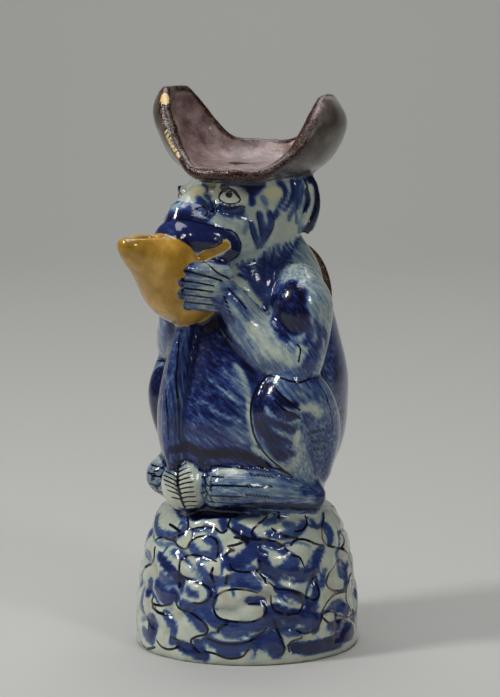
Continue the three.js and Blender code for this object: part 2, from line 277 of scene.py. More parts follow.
neck = egg("neck", (0, -6, 84), (23, 20, 22))
head = tube("head", 40, 64, column_of(HEAD))
muzzle = limb(
    "muzzle", [(0, -14, 105, 15), (0, -25, 104.5, 12.5), (0, -33, 105.5, 9.5), (0, -38.6, 106, 6.5)],
    flat=1 / 0.76,
)
bridge = limb("bridge", [(0, -18, 123, 7), (0, -31, 117, 5.2)], sides=24, rings=20)
nose = egg("nose", (0, -34.3, 115.8), (5.6, 4.8, 3.8))
left["muzzle_side"] = limb(
    "muzzle_side", [(0, -34, 111.5, 6.5), (8, -29, 110, 5.6), (13.5, -21.5, 107, 4.8)], sides=24, rings=20
)
left["lip"] = limb(
    "lip", [(15.3, -23, 101.5, 3.2), (11, -31, 105, 3.6), (0, -38.8, 105.2, 3.8)], sides=20, rings=22
)
left["chin"] = limb(
    "chin", [(15.3, -22.5, 101, 3.5), (9, -28, 96.5, 3.4), (0, -30, 95, 3.3)], sides=20, rings=22
)
left["nostril"] = egg("nostril", (5.6, -30.2, 115.8), (3, 3.2, 4))
left["eye"] = egg("eye", (11, -18.9, 121.7), (5.8, 5.4, 5), 30)
left["lid"] = limb(
    "lid",
    [(5.6, -23.8, 120.4, 0.7), (8, -24.8, 123.4, 0.9), (11.8, -24.2, 125.2, 1.0), (15.6, -20.8, 124.4, 0.9),
     (17.2, -17.4, 121.6, 0.6)],
    sides=12, rings=20,
)
left["under_lid"] = limb(
    "under_lid",
    [(5.8, -23.4, 119.4, 0.6), (10.2, -24.6, 117.3, 0.8), (15, -21.6, 118, 0.8), (17.2, -17.6, 120.4, 0.5)],
    sides=12, rings=20,
)
left["ear"] = egg("ear", (20.7, 11.3, 117.5), (6, 2.8, 12.3), EAR_TURN)
ear_bowl_left = egg("ear_bowl", (23.6, 10, 117.5), (3.2, 2, 8.6), EAR_TURN)
ear_bowl_right = other_side(ear_bowl_left)
right = {name: other_side(part) for name, part in left.items()}
for name in ("eye", "lid", "under_lid"):
    for corner in right[name].data.vertices:
        corner.co.z -= RIGHT_EYE_DROP / 1000


# Hat: a rolled slab, dished, with the brim turned up high at the sides and left low in front and
# behind. It sits askew, and its worn rolled edge is a little uneven all the way round.
HAT_THICKNESS = 4.8
HAT_TURN = 35
HAT_OFFSET = 1.2
HAT_TOP = 161.6
LOW_BRIM = [(5, 127.6), (13, 127.3), (20, 127.2), (25, 127.2), (29, 127.2), (32, 127.3), (35, 127.5)]
HIGH_BRIM = [(5, 127.6), (16, 128), (25.5, 130), (32, 136), (36, 145.5), (36.2, 153.5), (31.5, 162)]


def smooth(low, high, value):
    t = min(max((value - low) / (high - low), 0), 1)
    return t * t * (3 - 2 * t)


def brim(outward, lift):
    """Radius and height of the slab's middle, a share of the way from the low brim to the high one."""
    outward = min(max(outward, 0), 1)
    return Vector([a + (b - a) * lift for a, b in zip(read(LOW_BRIM, outward), read(HIGH_BRIM, outward))])


def hat_spot(share, angle):
    """A spot of the slab's top side for shares up to a half, then round the edge and back below."""
    turn = (math.degrees(angle) + 90 - HAT_TURN + 540) % 360 - 180
    begins = 14 if turn > 0 else 25
    lift = smooth(begins, begins + 64, abs(turn)) - 0.66 * smooth(115, 165, abs(turn))
    run = 1 - abs(2 * share - 1)
    outward = min(run * 1.04, 1)
    step = (brim(outward + 0.02, lift) - brim(outward - 0.02, lift)).normalized()
    square = Vector((-step.y, step.x))
    middle = brim(outward, lift)
    height = middle.y
    middle += square * HAT_THICKNESS / 2
    if turn < 0:
        middle.x += 2.8 * smooth(140, 162, height) * smooth(35, 70, -turn)
    else:
        middle.y -= 3.4 * smooth(134, 160, height) * smooth(40, 85, turn)
    side = 1 if share < 0.5 else -1
    around = min(1, max(0, (run - 0.9) / 0.1))
    at = Vector((middle.x * math.cos(angle), middle.x * math.sin(angle), middle.y))
    worn = 0.35 * noise.noise(at / 4) + 0.2 * noise.noise(at / 1.8) if side > 0 or around > 0 else 0
    worn += (0.5 * noise.noise(at / 2.6) - 0.1) * around
    thick = (HAT_THICKNESS / 2 + worn) * math.sqrt(max(0, 1 - around**2))
    spot = middle + square * thick * side + step * (1.0 + worn) * around
    x, y = [spot.x * way + HAT_OFFSET for way in (math.cos(angle), math.sin(angle))]
    return (x, y, min(spot.y, HAT_TOP))


hat = tube("hat", 81, 160, hat_spot)


# Shell: a hollow fruit or shell that the monkey drinks from, and the jug's spout. It is a lens of
# clay with a thick raised lip round the pouring slit on top, near the tip.
SHELL = [
    (18, 7.5, 8, 86), (25, 10, 11, 86.5), (31, 11.6, 14.4, 88.2), (38, 12, 16.7, 90.4),
    (46, 10.8, 14.1, 92.9), (52, 8.4, 10.2, 96.8), (57, 6.4, 7, 100), (61, 5.2, 5.2, 102.3),
    (65.5, 2.4, 2.6, 104.6),
]
LIP_MIDDLE = (0, -53.5, 106.4)
LIP_LENGTH = 16.4
LIP_WIDTH = 10
LIP_THICKNESS = 1.3
LIP_TILT = (0.08, -0.06, 1)


def full(value, power=0.78):
    """A sine or cosine pushed out towards a box, for a squarer section."""
    return math.copysign(abs(value) ** power, value)


def shell_spot(share, angle):
    """A spot of the shell, whose top is pinched between the hands and the mouth."""
    forward, wide, high, middle = read(SHELL, share)
    pinch = 1 - 0.5 * smooth(45, 33, forward) * max(0, full(math.sin(angle)))
    rise = full(math.sin(angle), 0.62 if math.sin(angle) > 0 else 0.8)
    return (wide * pinch * full(math.cos(angle)), -forward, middle + high * rise)


shell = tube("shell", 40, 48, shell_spot)
bpy.ops.object.select_all(action="DESELECT")
bpy.ops.mesh.primitive_torus_add(major_segments=48, minor_segments=12, major_radius=1, minor_radius=0.25)
shell_lip = bpy.context.object
shell_lip.name = "shell_lip"
lip_up = Vector(LIP_TILT).normalized()
lip_along = Vector((0, -1, 0))
lip_across = lip_up.cross(lip_along).normalized()
for corner in shell_lip.data.vertices:
    angle = math.atan2(corner.co.y, corner.co.x)
    off = (math.hypot(corner.co.x, corner.co.y) - 1) / 0.25 * LIP_THICKNESS
    along = math.cos(angle) * (LIP_LENGTH / 2 + off)
    across = math.sin(angle) * (LIP_WIDTH / 2 + off)
    up = corner.co.z / 0.25 * LIP_THICKNESS
    corner.co = place(Vector(LIP_MIDDLE) + lip_along * along + lip_across * across + lip_up * up)
slit = egg("slit", (0, -53, 106), (3.1, 6, 8))


# Handle: a short strap pulled from clay, from the back of the head down to the shoulders. It bows
# out clear of the nape, and is wider than it is thick.
HANDLE_THICKNESS = 5.8
HANDLE_SPOTS = [(0, 17, 100), (0, 26, 99), (0, 34, 94.5), (0, 39.5, 87.5), (0, 42, 78), (0, 39.5, 66)]
handle = limb(
    "handle", [spot + (HANDLE_THICKNESS / 2,) for spot in HANDLE_SPOTS],
    flat=1.8, up=(0, 1, 0.3), sides=24, rings=60,
)


# Hollow: the jug is empty from the hole in the hat's floor down to the plinth's floor, and through
# the mouth into the shell. Its inside is the outer form set in by the wall, smeared smooth by hand.
FLOOR = 6
FILL_HOLE = 16
SPOUT_BORE = 8
SHELL_WALL = 3.2
BODY_HOLLOW_TOP = 96


def apply(made, kind, **settings):
    """Adds a modifier with these settings and applies it."""
    bpy.ops.object.select_all(action="DESELECT")
    made.select_set(True)
    bpy.context.view_layer.objects.active = made
    modifier = made.modifiers.new(kind.lower(), kind)
    for name, value in settings.items():
        setattr(modifier, name, value)
    bpy.ops.object.modifier_apply(modifier=modifier.name)


def join(parts, name):
    bpy.ops.object.select_all(action="DESELECT")
    for part in parts:
        part.select_set(True)
    bpy.context.view_layer.objects.active = parts[0]
    bpy.ops.object.join()
    parts[0].name = name
    parts[0].data.name = name
    return parts[0]


def body_hollow_spot(share, angle):
    """A spot inside the plinth and body, drawn in at the waist where the two meet."""
    height = FLOOR - SEAT + share * (BODY_HOLLOW_TOP + SEAT - FLOOR)
    if height < 0:
        drum = (height + SEAT) / SEAT
        radius = base_radius(drum) - WALL - ROCK_RELIEF / 2
        radius += (min(radius, TORSO[0][1] - WALL) - radius) * smooth(0.7, 1, drum)
        return (radius * math.cos(angle), radius * math.sin(angle), height)
    row = next(k for k in range(len(TORSO) - 1) if height <= TORSO[k + 1][0] or k == len(TORSO) - 2)
    part = (height - TORSO[row][0]) / (TORSO[row + 1][0] - TORSO[row][0])
    _, wide, deep, back = read(TORSO, (row + part) / (len(TORSO) - 1))
    back *= smooth(0, 12, height)
    return ((wide - WALL) * math.cos(angle), back + (deep - WALL) * math.sin(angle), height)


def head_hollow_spot(share, angle):
    height, wide, deep, back = read(HEAD, 0.05 + 0.83 * share)
    return ((wide - WALL) * math.cos(angle), back + (deep - WALL) * math.sin(angle), height)


def shell_hollow_spot(share, angle):
    forward, wide, high, middle = read(SHELL, 0.16 + 0.56 * share)
    return ((wide - SHELL_WALL) * math.cos(angle), -forward, middle + (high - SHELL_WALL) * math.sin(angle))


inside = join(
    [
        tube("body_hollow", 40, 40, body_hollow_spot),
        tube("head_hollow", 24, 40, head_hollow_spot),
        egg("filling_hole", (0, 0, 128), (FILL_HOLE / 2, FILL_HOLE / 2, 14), high=24),
        limb("bore", [(0, -6, 94, SPOUT_BORE / 2), (0, -36, 92, SPOUT_BORE / 2)], sides=16, rings=12),
        tube("shell_hollow", 20, 32, shell_hollow_spot),
    ],
    "inside",
)
apply(inside, "REMESH", mode="VOXEL", voxel_size=0.0032, adaptivity=0)


# Joining: all the pieces are one wall of clay once they are luted, fired and glazed. The glaze runs
# into every seam, so the joined surface is melted a little with the smooth modifier. A search tree
# of each kind of clay is kept, to tell later how near a spot of glaze is to it.
MESH_GRAIN = 1.32


def both(*names):
    return [side[name] for side in (left, right) for name in names]


def tree(parts):
    spots, faces = [], []
    for part in parts:
        start = len(spots)
        spots += [corner.co.copy() for corner in part.data.vertices]
        faces += [[start + k for k in face.vertices] for face in part.data.polygons]
    return BVHTree.FromPolygons(spots, faces)


clay = {
    "plinth": [plinth], "body": [body], "tail": [tail], "tuft": [tuft], "head": [neck, head],
    "muzzle": [muzzle] + both("lip", "chin", "muzzle_side"), "bridge": [bridge],
    "nose": [nose] + both("nostril"), "eye": both("eye", "lid", "under_lid"), "ear": both("ear"),
    "thigh": both("thigh"), "shin": both("shin"), "foot": both("foot", *["toe_%d" % n for n in range(TOES)]),
    "arm": both("nape", "upper_arm", "forearm"),
    "hand": both("palm", "thumb", *["finger_%d" % n for n in range(len(FINGER_TIPS))]),
    "hat": [hat], "shell": [shell, shell_lip], "handle": [handle],
}
trees = {name: tree(parts) for name, parts in clay.items()}
boxes = {}
for name, parts in clay.items():
    ends = np.array([part.matrix_world @ Vector(end) for part in parts for end in part.bound_box]) * 1000
    boxes[name] = (ends.min(0), ends.max(0))
jug = join([part for parts in clay.values() for part in parts], "glazed_jug")
apply(jug, "REMESH", mode="VOXEL", voxel_size=MESH_GRAIN / 1000, adaptivity=0)
for hole in (join([ear_bowl_left, ear_bowl_right], "ear_bowls"), slit, inside):
    apply(jug, "BOOLEAN", operation="DIFFERENCE", object=hole, solver="MANIFOLD")
    bpy.data.objects.remove(hole)
apply(jug, "SMOOTH", factor=0.5, iterations=3)
for corner in jug.data.vertices:
    corner.co.z = max(corner.co.z, 0)


# Brushwork: cobalt lines and washes, laid with a few brushes on the raw white glaze. Their spots are
# chosen on the photo and two enlargements, each given by its zoom and the photo pixel of its
# corner, and are thrown along the line of sight onto the glaze. Hidden sides get the repeats.
PLINTH_SHEET = (7, 125, 490)
FIGURE_SHEET = (7, 130, 300)
FACE_SHEET = (1, 0, 0)
LINE_STEP = 0.7
WASH_STEP = 0.8
LONGEST_JUMP = 14
surface = tree([jug])
bpy.context.view_layer.update()
eye = camera.matrix_world.translation
line_strokes = []
fine_strokes = []
wash_strokes = []
warm_and_highlight_strokes = []
chip_and_highlight_strokes = []


def on_glaze(sheet, spot):
    """Where the line of sight through a spot of a sheet meets the glaze, in millimetres."""
    zoom, left_edge, top_edge = sheet
    across = (left_edge + spot[0] / zoom - PHOTO_WIDTH / 2) / PHOTO_HEIGHT + camera.data.shift_x
    up = (PHOTO_HEIGHT / 2 - top_edge - spot[1] / zoom) / PHOTO_HEIGHT
    sensor = camera.data.sensor_width
    along = camera.matrix_world.to_3x3() @ Vector((across * sensor, up * sensor, -camera.data.lens))
    along.normalize()
    hit = surface.ray_cast(eye, along)[0] or surface.find_nearest(eye + along * 1.01)[0]
    return [value * 1000 for value in hit]


def samples(points, step):
    """Spots along a smooth curve through points, about step millimetres apart."""
    spots = []
    for k in range(len(points) - 1):
        count = max(1, round(math.dist(points[k], points[k + 1]) / step))
        spots += [read(points, (k + i / count) / (len(points) - 1)) for i in range(count)]
    return spots + [list(points[-1])]


def lay(strokes, sheet, half, amount, points, step, repeated=True):
    """Adds a stroke, as (half widths, amount, spots on the glaze), and its repeat on the hidden side."""
    runs = [[]]
    for spot in [on_glaze(sheet, point) for point in points]:
        if runs[-1] and math.dist(runs[-1][-1], spot) > LONGEST_JUMP:
            runs.append([])
        runs[-1].append(spot)
    for run in runs:
        if len(run) < 2:
            continue
        x, y, z = np.mean(run, 0)
        on_tail = abs(x) < 10.5 and y < -28 and z < SEAT + 74
        turns = [(1, 1, 0)]
        if repeated and sheet == PLINTH_SHEET:
            turns.append((-1, -1, 0))
        elif repeated and x > -1.5 and not on_tail:
            turns.append((-1, 1, -RIGHT_EYE_DROP if z > SEAT + 100 else 0))
        for turn in turns:
            spots = samples([(spot[0] * turn[0], spot[1] * turn[1], spot[2] + turn[2]) for spot in run], step)
            on = np.array([surface.find_nearest(Vector(spot) / 1000)[0] for spot in spots]) * 1000
            swell = np.sqrt(np.sin(np.pi * np.linspace(0, 1, len(on))).clip(0, 1))
            strokes.append((half * (0.7 + 0.3 * swell), amount, on))


def line(sheet, width, *points):
    lay(line_strokes, sheet, width / 2, 1, points, LINE_STEP)


def fine_line(sheet, width, *points):
    """A line among others so close that the glaze needs a finer mesh there."""
    laid = len(line_strokes)
    line(sheet, width, *points)
    fine_strokes.extend(line_strokes[laid:])


def wash(sheet, half, amount, *points):
    lay(wash_strokes, sheet, half, amount, points, WASH_STEP)


def ticks(sheet, first, last, count, lean, width):
    """A row of short lines from first to last."""
    for k in range(count):
        x, y = [a + (b - a) * k / (count - 1) for a, b in zip(first, last)]
        fine_line(sheet, width, (x - lean[0], y - lean[1]), (x + lean[0], y + lean[1]))


# Lists of strokes: lines as a width in millimetres and their spots, washes as half a width, how deep
# the cobalt is, and their spots. The plinth's lines only have spots, as they are all of two brushes.
PLINTH_LINES = [
    [(265, 95), (215, 190), (205, 260), (200, 330)],
    [(310, 240), (345, 260), (385, 290)],
    [(430, 180), (445, 240), (420, 300), (340, 335)],
    [(215, 350), (260, 330), (330, 350), (385, 400), (430, 410), (470, 350), (530, 325), (610, 330),
        (650, 380), (645, 470)],
    [(640, 500), (560, 470), (470, 455), (400, 480), (380, 540), (400, 600), (480, 640), (560, 670),
        (605, 710), (590, 760), (540, 790), (480, 790)],
    [(715, 180), (740, 200), (725, 260), (790, 300), (870, 340), (960, 350), (1050, 360), (1110, 400),
        (1170, 455), (1220, 470), (1255, 540)],
    [(995, 185), (950, 225), (900, 270), (890, 310), (910, 325)],
    [(1065, 150), (1080, 200)],
    [(1030, 270), (1110, 320), (1200, 335)],
    [(1260, 180), (1275, 230), (1240, 280), (1190, 290)],
    [(1370, 140), (1385, 230), (1380, 330), (1420, 390), (1500, 410), (1560, 450), (1585, 520), (1570, 620),
        (1550, 700), (1560, 800), (1580, 900), (1620, 960)],
    [(1470, 110), (1530, 180), (1550, 270), (1535, 350), (1510, 410)],
    [(1160, 390), (1190, 355), (1250, 345), (1330, 375), (1380, 390)],
    [(615, 545), (605, 590), (620, 645)],
    [(715, 600), (705, 650)],
    [(945, 590), (975, 620), (985, 650)],
    [(930, 720), (850, 700), (760, 695), (680, 715), (630, 760), (620, 830), (650, 890), (720, 915),
        (800, 925), (880, 925), (960, 890), (990, 840), (975, 805), (930, 795), (865, 800)],
    [(465, 275), (540, 262), (630, 268), (655, 290), (690, 300), (715, 280)],
    [(720, 395), (770, 385), (815, 370)],
    [(765, 330), (830, 345), (860, 370)],
    [(700, 460), (740, 425), (760, 425)],
    [(735, 520), (760, 560), (850, 575), (930, 560), (950, 520), (935, 490)],
    [(1010, 650), (1060, 690), (1140, 700), (1220, 720), (1290, 760), (1330, 770), (1360, 730), (1345, 670),
        (1315, 620), (1320, 560)],
    [(1020, 740), (1025, 800), (1060, 850), (1130, 870), (1210, 860), (1245, 800), (1230, 750),
        (1180, 715)],
    [(1540, 530), (1500, 490), (1460, 540), (1420, 600), (1410, 660), (1450, 700), (1520, 700),
        (1550, 660)],
    [(1545, 710), (1470, 730), (1420, 780), (1380, 850), (1370, 920), (1330, 980), (1260, 1005),
        (1200, 985)],
    [(1380, 860), (1440, 850), (1500, 880), (1560, 890), (1600, 860), (1590, 800)],
    [(1390, 900), (1440, 935), (1510, 915)],
    [(200, 740), (190, 790), (250, 810), (310, 800)],
    [(190, 820), (240, 860), (320, 880)],
    [(365, 740), (360, 800), (400, 840), (480, 870), (540, 920), (580, 970), (560, 1010), (490, 1030),
        (460, 1060), (490, 1110), (540, 1150)],
    [(220, 1050), (260, 1100), (320, 1115), (380, 1090), (370, 1050), (320, 1030)],
    [(715, 940), (670, 960), (650, 990)],
    [(995, 965), (930, 1020), (860, 1065), (760, 1080), (660, 1070), (580, 1040)],
    [(1040, 900), (1065, 980), (1100, 1060), (1115, 1110), (1100, 1150)],
    [(1240, 1035), (1170, 1060), (1145, 1100), (1150, 1130)],
    [(560, 1130), (640, 1150), (720, 1180), (790, 1175), (830, 1160), (860, 1120)],
    [(1480, 960), (1460, 1040), (1400, 1060)],
    [(140, 540), (200, 490), (210, 400)],
    [(150, 350), (150, 420)],
    [(110, 1060), (150, 1110), (210, 1100)],
    [(380, 560), (385, 620), (380, 680)],
    [(150, 880), (170, 940), (160, 1000)],
]
PLINTH_WASHES = [
    (1.75, 0.72, [(230, 180), (215, 250), (260, 310), (360, 320), (420, 270), (410, 190)]),
    (2.07, 1.12, [(240, 460), (320, 560), (400, 650)]),
    (3.19, 0.92, [(230, 660), (250, 720), (300, 760)]),
    (2.07, 0.72, [(470, 400), (520, 450), (600, 460), (645, 420), (630, 360), (570, 340)]),
    (2.07, 0.72, [(520, 520), (560, 600), (680, 640), (800, 600), (900, 560)]),
    (1.43, 0.92, [(760, 660), (850, 660), (940, 690)]),
    (2.87, 0.92, [(780, 270), (860, 320), (900, 400), (860, 460), (760, 520)]),
    (1.75, 1.02, [(700, 470), (740, 540)]),
    (1.75, 0.72, [(760, 220), (820, 180), (930, 170)]),
    (1.75, 0.72, [(1000, 300), (1100, 320), (1200, 300), (1260, 230)]),
    (1.91, 0.67, [(980, 230), (1060, 200), (1130, 150)]),
    (1.59, 0.87, [(930, 350), (1050, 390), (1130, 440), (1180, 470)]),
    (2.39, 1.02, [(960, 440), (980, 540), (1060, 600)]),
    (2.23, 0.92, [(1000, 590), (1120, 560), (1260, 590), (1330, 560), (1340, 480), (1380, 410)]),
    (1.91, 0.92, [(1060, 690), (1200, 740), (1300, 780), (1340, 720), (1320, 620)]),
    (2.87, 1.02, [(1050, 830), (1150, 880), (1270, 880), (1320, 820)]),
    (2.23, 0.87, [(560, 640), (610, 700), (600, 780), (520, 830), (400, 800)]),
    (2.39, 0.87, [(560, 830), (620, 920), (740, 960), (900, 960), (1000, 920), (1000, 840)]),
    (2.55, 0.82, [(430, 840), (500, 900), (540, 960)]),
    (2.23, 0.87, [(580, 1050), (700, 1100), (850, 1090), (940, 1040)]),
    (3.82, 0.92, [(940, 1060), (1040, 1060), (1060, 1120)]),
    (2.39, 1.02, [(380, 1080), (460, 1120), (560, 1170)]),
    (2.39, 0.82, [(130, 980), (190, 1040), (180, 900)]),
    (1.59, 0.72, [(1060, 960), (1150, 1000), (1280, 980)]),
    (1.59, 0.82, [(1290, 880), (1280, 960)]),
    (1.59, 0.82, [(1400, 240), (1440, 300), (1430, 370)]),
    (1.43, 0.92, [(1540, 560), (1540, 680)]),
    (2.23, 0.92, [(1500, 800), (1550, 850)]),
    (2.23, 0.92, [(1430, 960), (1520, 940), (1580, 950)]),
    (2.87, 1.27, [(1190, 1100), (1350, 1100), (1480, 1050), (1590, 990)]),
    # The darkest band, nearly black, runs round the plinth's top, in the recess under the feet.
    (2.23, 1.82, [(300, 110), (400, 140), (560, 180), (720, 165), (900, 125), (1200, 105), (1430, 100)]),
    (1.59, 0.92, [(680, 200), (700, 270)]),
    (1.75, 0.92, [(130, 700), (115, 800), (130, 860)]),
    (1.91, 0.92, [(1600, 700), (1630, 800), (1600, 900)]),
    (1.91, 0.72, [(160, 280), (150, 340)]),
    (1.59, 1.02, [(1500, 420), (1580, 470)]),
    (1.91, 1.02, [(330, 560), (390, 640)]),
    (1.71, 0.6, [(560, 260), (620, 300)]),
    (1.98, 0.65, [(1120, 240), (1180, 260)]),
    (1.71, 0.7, [(330, 430), (420, 470)]),
    (1.98, 0.6, [(860, 620), (930, 640)]),
    (2.24, 0.7, [(250, 600), (300, 640)]),
    (1.98, 1, [(180, 640), (160, 720)]),
    (1.98, 0.8, [(280, 860), (340, 960), (330, 1060)]),
    (1.71, 0.7, [(1400, 560), (1380, 660)]),
    (1.71, 0.75, [(1440, 800), (1500, 830)]),
    (1.98, 0.7, [(700, 1000), (800, 1010)]),
    (2.64, 1, [(200, 900), (190, 1000)]),
    (1.98, 0.9, [(660, 1130), (780, 1150)]),
    (2.37, 0.95, [(1000, 880), (1060, 940)]),
    (1.85, 0.7, [(1120, 520), (1200, 500)]),
    (1.85, 0.9, [(860, 770), (960, 780)]),
    (1.58, 0.8, [(1100, 960), (1180, 940)]),
    (1.98, 1, [(1340, 880), (1330, 980)]),
    (1.71, 0.85, [(500, 1060), (540, 1120)]),
    (1.58, 0.8, [(150, 420), (180, 470)]),
    (1.45, 0.85, [(430, 700), (500, 740)]),
    (1.71, 0.95, [(330, 700), (360, 760)]),
]
FIGURE_LINES = [
    (0.82, [(960, 530), (890, 620), (850, 720), (850, 850), (880, 970), (950, 1080), (1050, 1170),
        (1140, 1240)]),
    (0.82, [(970, 530), (1040, 540), (1130, 570), (1200, 575), (1260, 545), (1270, 520)]),
    (0.99, [(1172, 312), (1182, 322)]),
    (0.99, [(1190, 335), (1194, 350)]),
    (0.99, [(1192, 365), (1190, 380)]),
    (0.99, [(1186, 395), (1184, 408)]),
    (0.99, [(1182, 420), (1180, 432)]),
    (0.99, [(990, 580), (1040, 650), (1110, 710), (1190, 770)]),
    (0.99, [(1010, 700), (1080, 770), (1150, 800), (1190, 830)]),
    (0.58, [(1310, 570), (1370, 670), (1400, 760), (1420, 900)]),
    (1.48, [(1430, 770), (1470, 790), (1510, 765)]),
    (1.32, [(1440, 855), (1500, 850)]),
    (0.82, [(545, 1155), (600, 1160), (700, 1170), (830, 1185)]),
    (0.82, [(540, 1235), (620, 1238), (700, 1240), (800, 1245)]),
    (0.82, [(545, 1300), (620, 1298), (700, 1300), (810, 1305)]),
    (0.82, [(545, 1362), (620, 1372), (700, 1376), (780, 1378)]),
    (0.82, [(550, 1410), (640, 1420), (760, 1425)]),
    (0.82, [(560, 1135), (535, 1165), (530, 1195), (545, 1225)]),
    (0.82, [(530, 1240), (525, 1270), (540, 1295)]),
    (0.82, [(530, 1305), (528, 1330), (545, 1355)]),
    (0.82, [(535, 1365), (530, 1390), (550, 1412)]),
    (0.82, [(880, 1150), (960, 1165), (1050, 1190), (1140, 1240)]),
    (0.99, [(345, 1092), (335, 1180), (335, 1280), (355, 1380), (385, 1455)]),
    (0.82, [(345, 240), (335, 400), (322, 560), (335, 700), (345, 860), (345, 985)]),
    (0.74, [(185, 415), (225, 410), (262, 408)]),
    (0.74, [(262, 410), (248, 520), (250, 640), (262, 800), (270, 980)]),
    (0.82, [(1372, 1300), (1402, 1380), (1392, 1450)]),
]
FIGURE_WASHES = [
    (4.74, 1.2, [(470, 240), (600, 330)]),
    (4.42, 1.2, [(520, 420), (640, 440)]),
    (3.79, 1.15, [(430, 520), (560, 600), (640, 650)]),
    (3.48, 1.05, [(480, 650), (640, 740), (720, 790)]),
    (3.79, 0.85, [(410, 760), (560, 880), (720, 930)]),
    (3.48, 0.85, [(410, 930), (600, 990)]),
    (2.84, 0.55, [(700, 900), (780, 960)]),
    # The dark band under the forearm, where it meets the belly, is partly cobalt and partly painted shade of
    # the deep crease.
    (2.84, 1.35, [(640, 200), (720, 330), (800, 450), (850, 540)]),
    (3.48, 0.8, [(370, 260), (330, 420), (290, 600), (290, 780), (310, 950)]),
    (3.79, 1.3, [(170, 560), (160, 700), (190, 850), (230, 960)]),
    (3.16, 0.75, [(240, 220), (225, 340)]),
    (3.16, 1.4, [(950, 600), (895, 760), (930, 900), (1000, 1000), (1060, 1090)]),
    (1.52, 1.4, [(990, 620), (1060, 700), (1160, 740)]),
    (1.52, 1.35, [(960, 700), (1060, 800), (1150, 820)]),
    (1.52, 1.2, [(960, 830), (1100, 900), (1190, 910)]),
    (1.26, 1.15, [(980, 930), (1130, 1010)]),
    (1.26, 1.1, [(1000, 1010), (1140, 1080)]),
    (3.79, 0.55, [(1060, 620), (1240, 650)]),
    (3.79, 0.65, [(1240, 930), (1330, 1010)]),
    (2.53, 0.8, [(1390, 900), (1390, 1050), (1370, 1220)]),
    (2.53, 0.6, [(820, 300), (900, 420), (1050, 500)]),
    (2.53, 0.6, [(690, 120), (760, 230)]),
    (2.53, 0.5, [(1060, 260), (1180, 330)]),
    (3.16, 0.65, [(1310, 330), (1270, 450), (1170, 530)]),
    (3.79, 1.65, [(1040, 60), (1110, 150), (1160, 180)]),
    (3.79, 1.1, [(1440, 420), (1460, 600), (1440, 720)]),
    (3.16, 0.85, [(1400, 250), (1400, 400)]),
    (3.79, 0.55, [(1450, 930), (1440, 1060)]),
    (2.53, 1.05, [(1330, 1300), (1340, 1400)]),
    (3.79, 0.5, [(600, 1300), (800, 1320), (1000, 1340), (1200, 1330)]),
    # This near-black band on the chest under the shell is painted shade, laid over the belly's cobalt.
    (3.79, 1.55, [(480, 150), (640, 150)]),
    # The two darkest bands, nearly black, run along the belly's lower edge over the feet and along the seat.
    (1.9, 1.75, [(300, 1050), (400, 1030), (520, 1080), (640, 1070), (760, 1080), (880, 1120),
        (960, 1160)]),
    (1.9, 1.65, [(260, 1400), (300, 1460), (420, 1500), (560, 1490), (700, 1450), (900, 1440), (1100, 1450),
        (1300, 1455), (1390, 1440)]),
    (1.14, 1.35, [(500, 1090), (500, 1180)]),
    (4.95, 1.6, [(1060, 90), (1120, 150)]),
    (2.47, 1.5, [(1180, 40), (1210, 110), (1180, 190)]),
    (1.65, 1.2, [(1010, 130), (1050, 220), (1100, 270)]),
    (1.43, 1, [(1230, 150), (1260, 230), (1230, 300)]),
    (1.32, 0.9, [(1300, 150), (1330, 260), (1300, 380)]),
    (1.32, 0.9, [(1350, 200), (1380, 330), (1350, 460)]),
    (0.99, 0.8, [(1270, 300), (1260, 380), (1220, 450)]),
    (3.3, 1.15, [(430, 300), (560, 380)]),
    (3.3, 1.2, [(560, 300), (660, 400)]),
    (3.3, 1.1, [(430, 420), (480, 560)]),
    (2.2, 1.05, [(400, 620), (440, 760)]),
    (1.43, 1.15, [(470, 560), (600, 680), (740, 740)]),
    (1.43, 1.05, [(430, 700), (560, 800), (700, 860)]),
    (1.43, 0.95, [(430, 830), (560, 920), (660, 960)]),
    (1.43, 0.3, [(740, 450), (800, 560), (830, 700)]),
    (0.71, 0.38, [(640, 470), (720, 560), (790, 640)]),
    (0.66, 0.42, [(560, 560), (680, 660), (780, 740)]),
    (0.77, 0.35, [(500, 700), (640, 800), (770, 850)]),
    (1.32, 0.22, [(830, 720), (845, 880), (880, 1000)]),
    (1.65, 0.2, [(860, 1040), (980, 1120), (1080, 1190)]),
    (1.98, 0.25, [(1180, 1090), (1130, 1180)]),
    (1.87, 0.15, [(1200, 760), (1290, 760), (1330, 800)]),
    (1.65, 0.1, [(1180, 920), (1160, 1000)]),
    (1.65, 0.15, [(860, 180), (980, 330), (1120, 440)]),
    (1.32, 0.5, [(740, 200), (840, 360), (960, 470)]),
    (1.1, 0.7, [(690, 230), (780, 350), (870, 470)]),
    (1.43, 0.2, [(1190, 330), (1180, 440)]),
    (1.43, 0.65, [(1120, 520), (1230, 520), (1280, 460)]),
    (2.2, 0.45, [(640, 1260), (820, 1270), (1000, 1290)]),
    (1.65, 0.6, [(640, 1390), (860, 1400), (1100, 1400)]),
    (2.2, 0.75, [(1200, 1330), (1330, 1340)]),
    (1.32, 0.15, [(590, 1200), (700, 1200), (800, 1200)]),
]
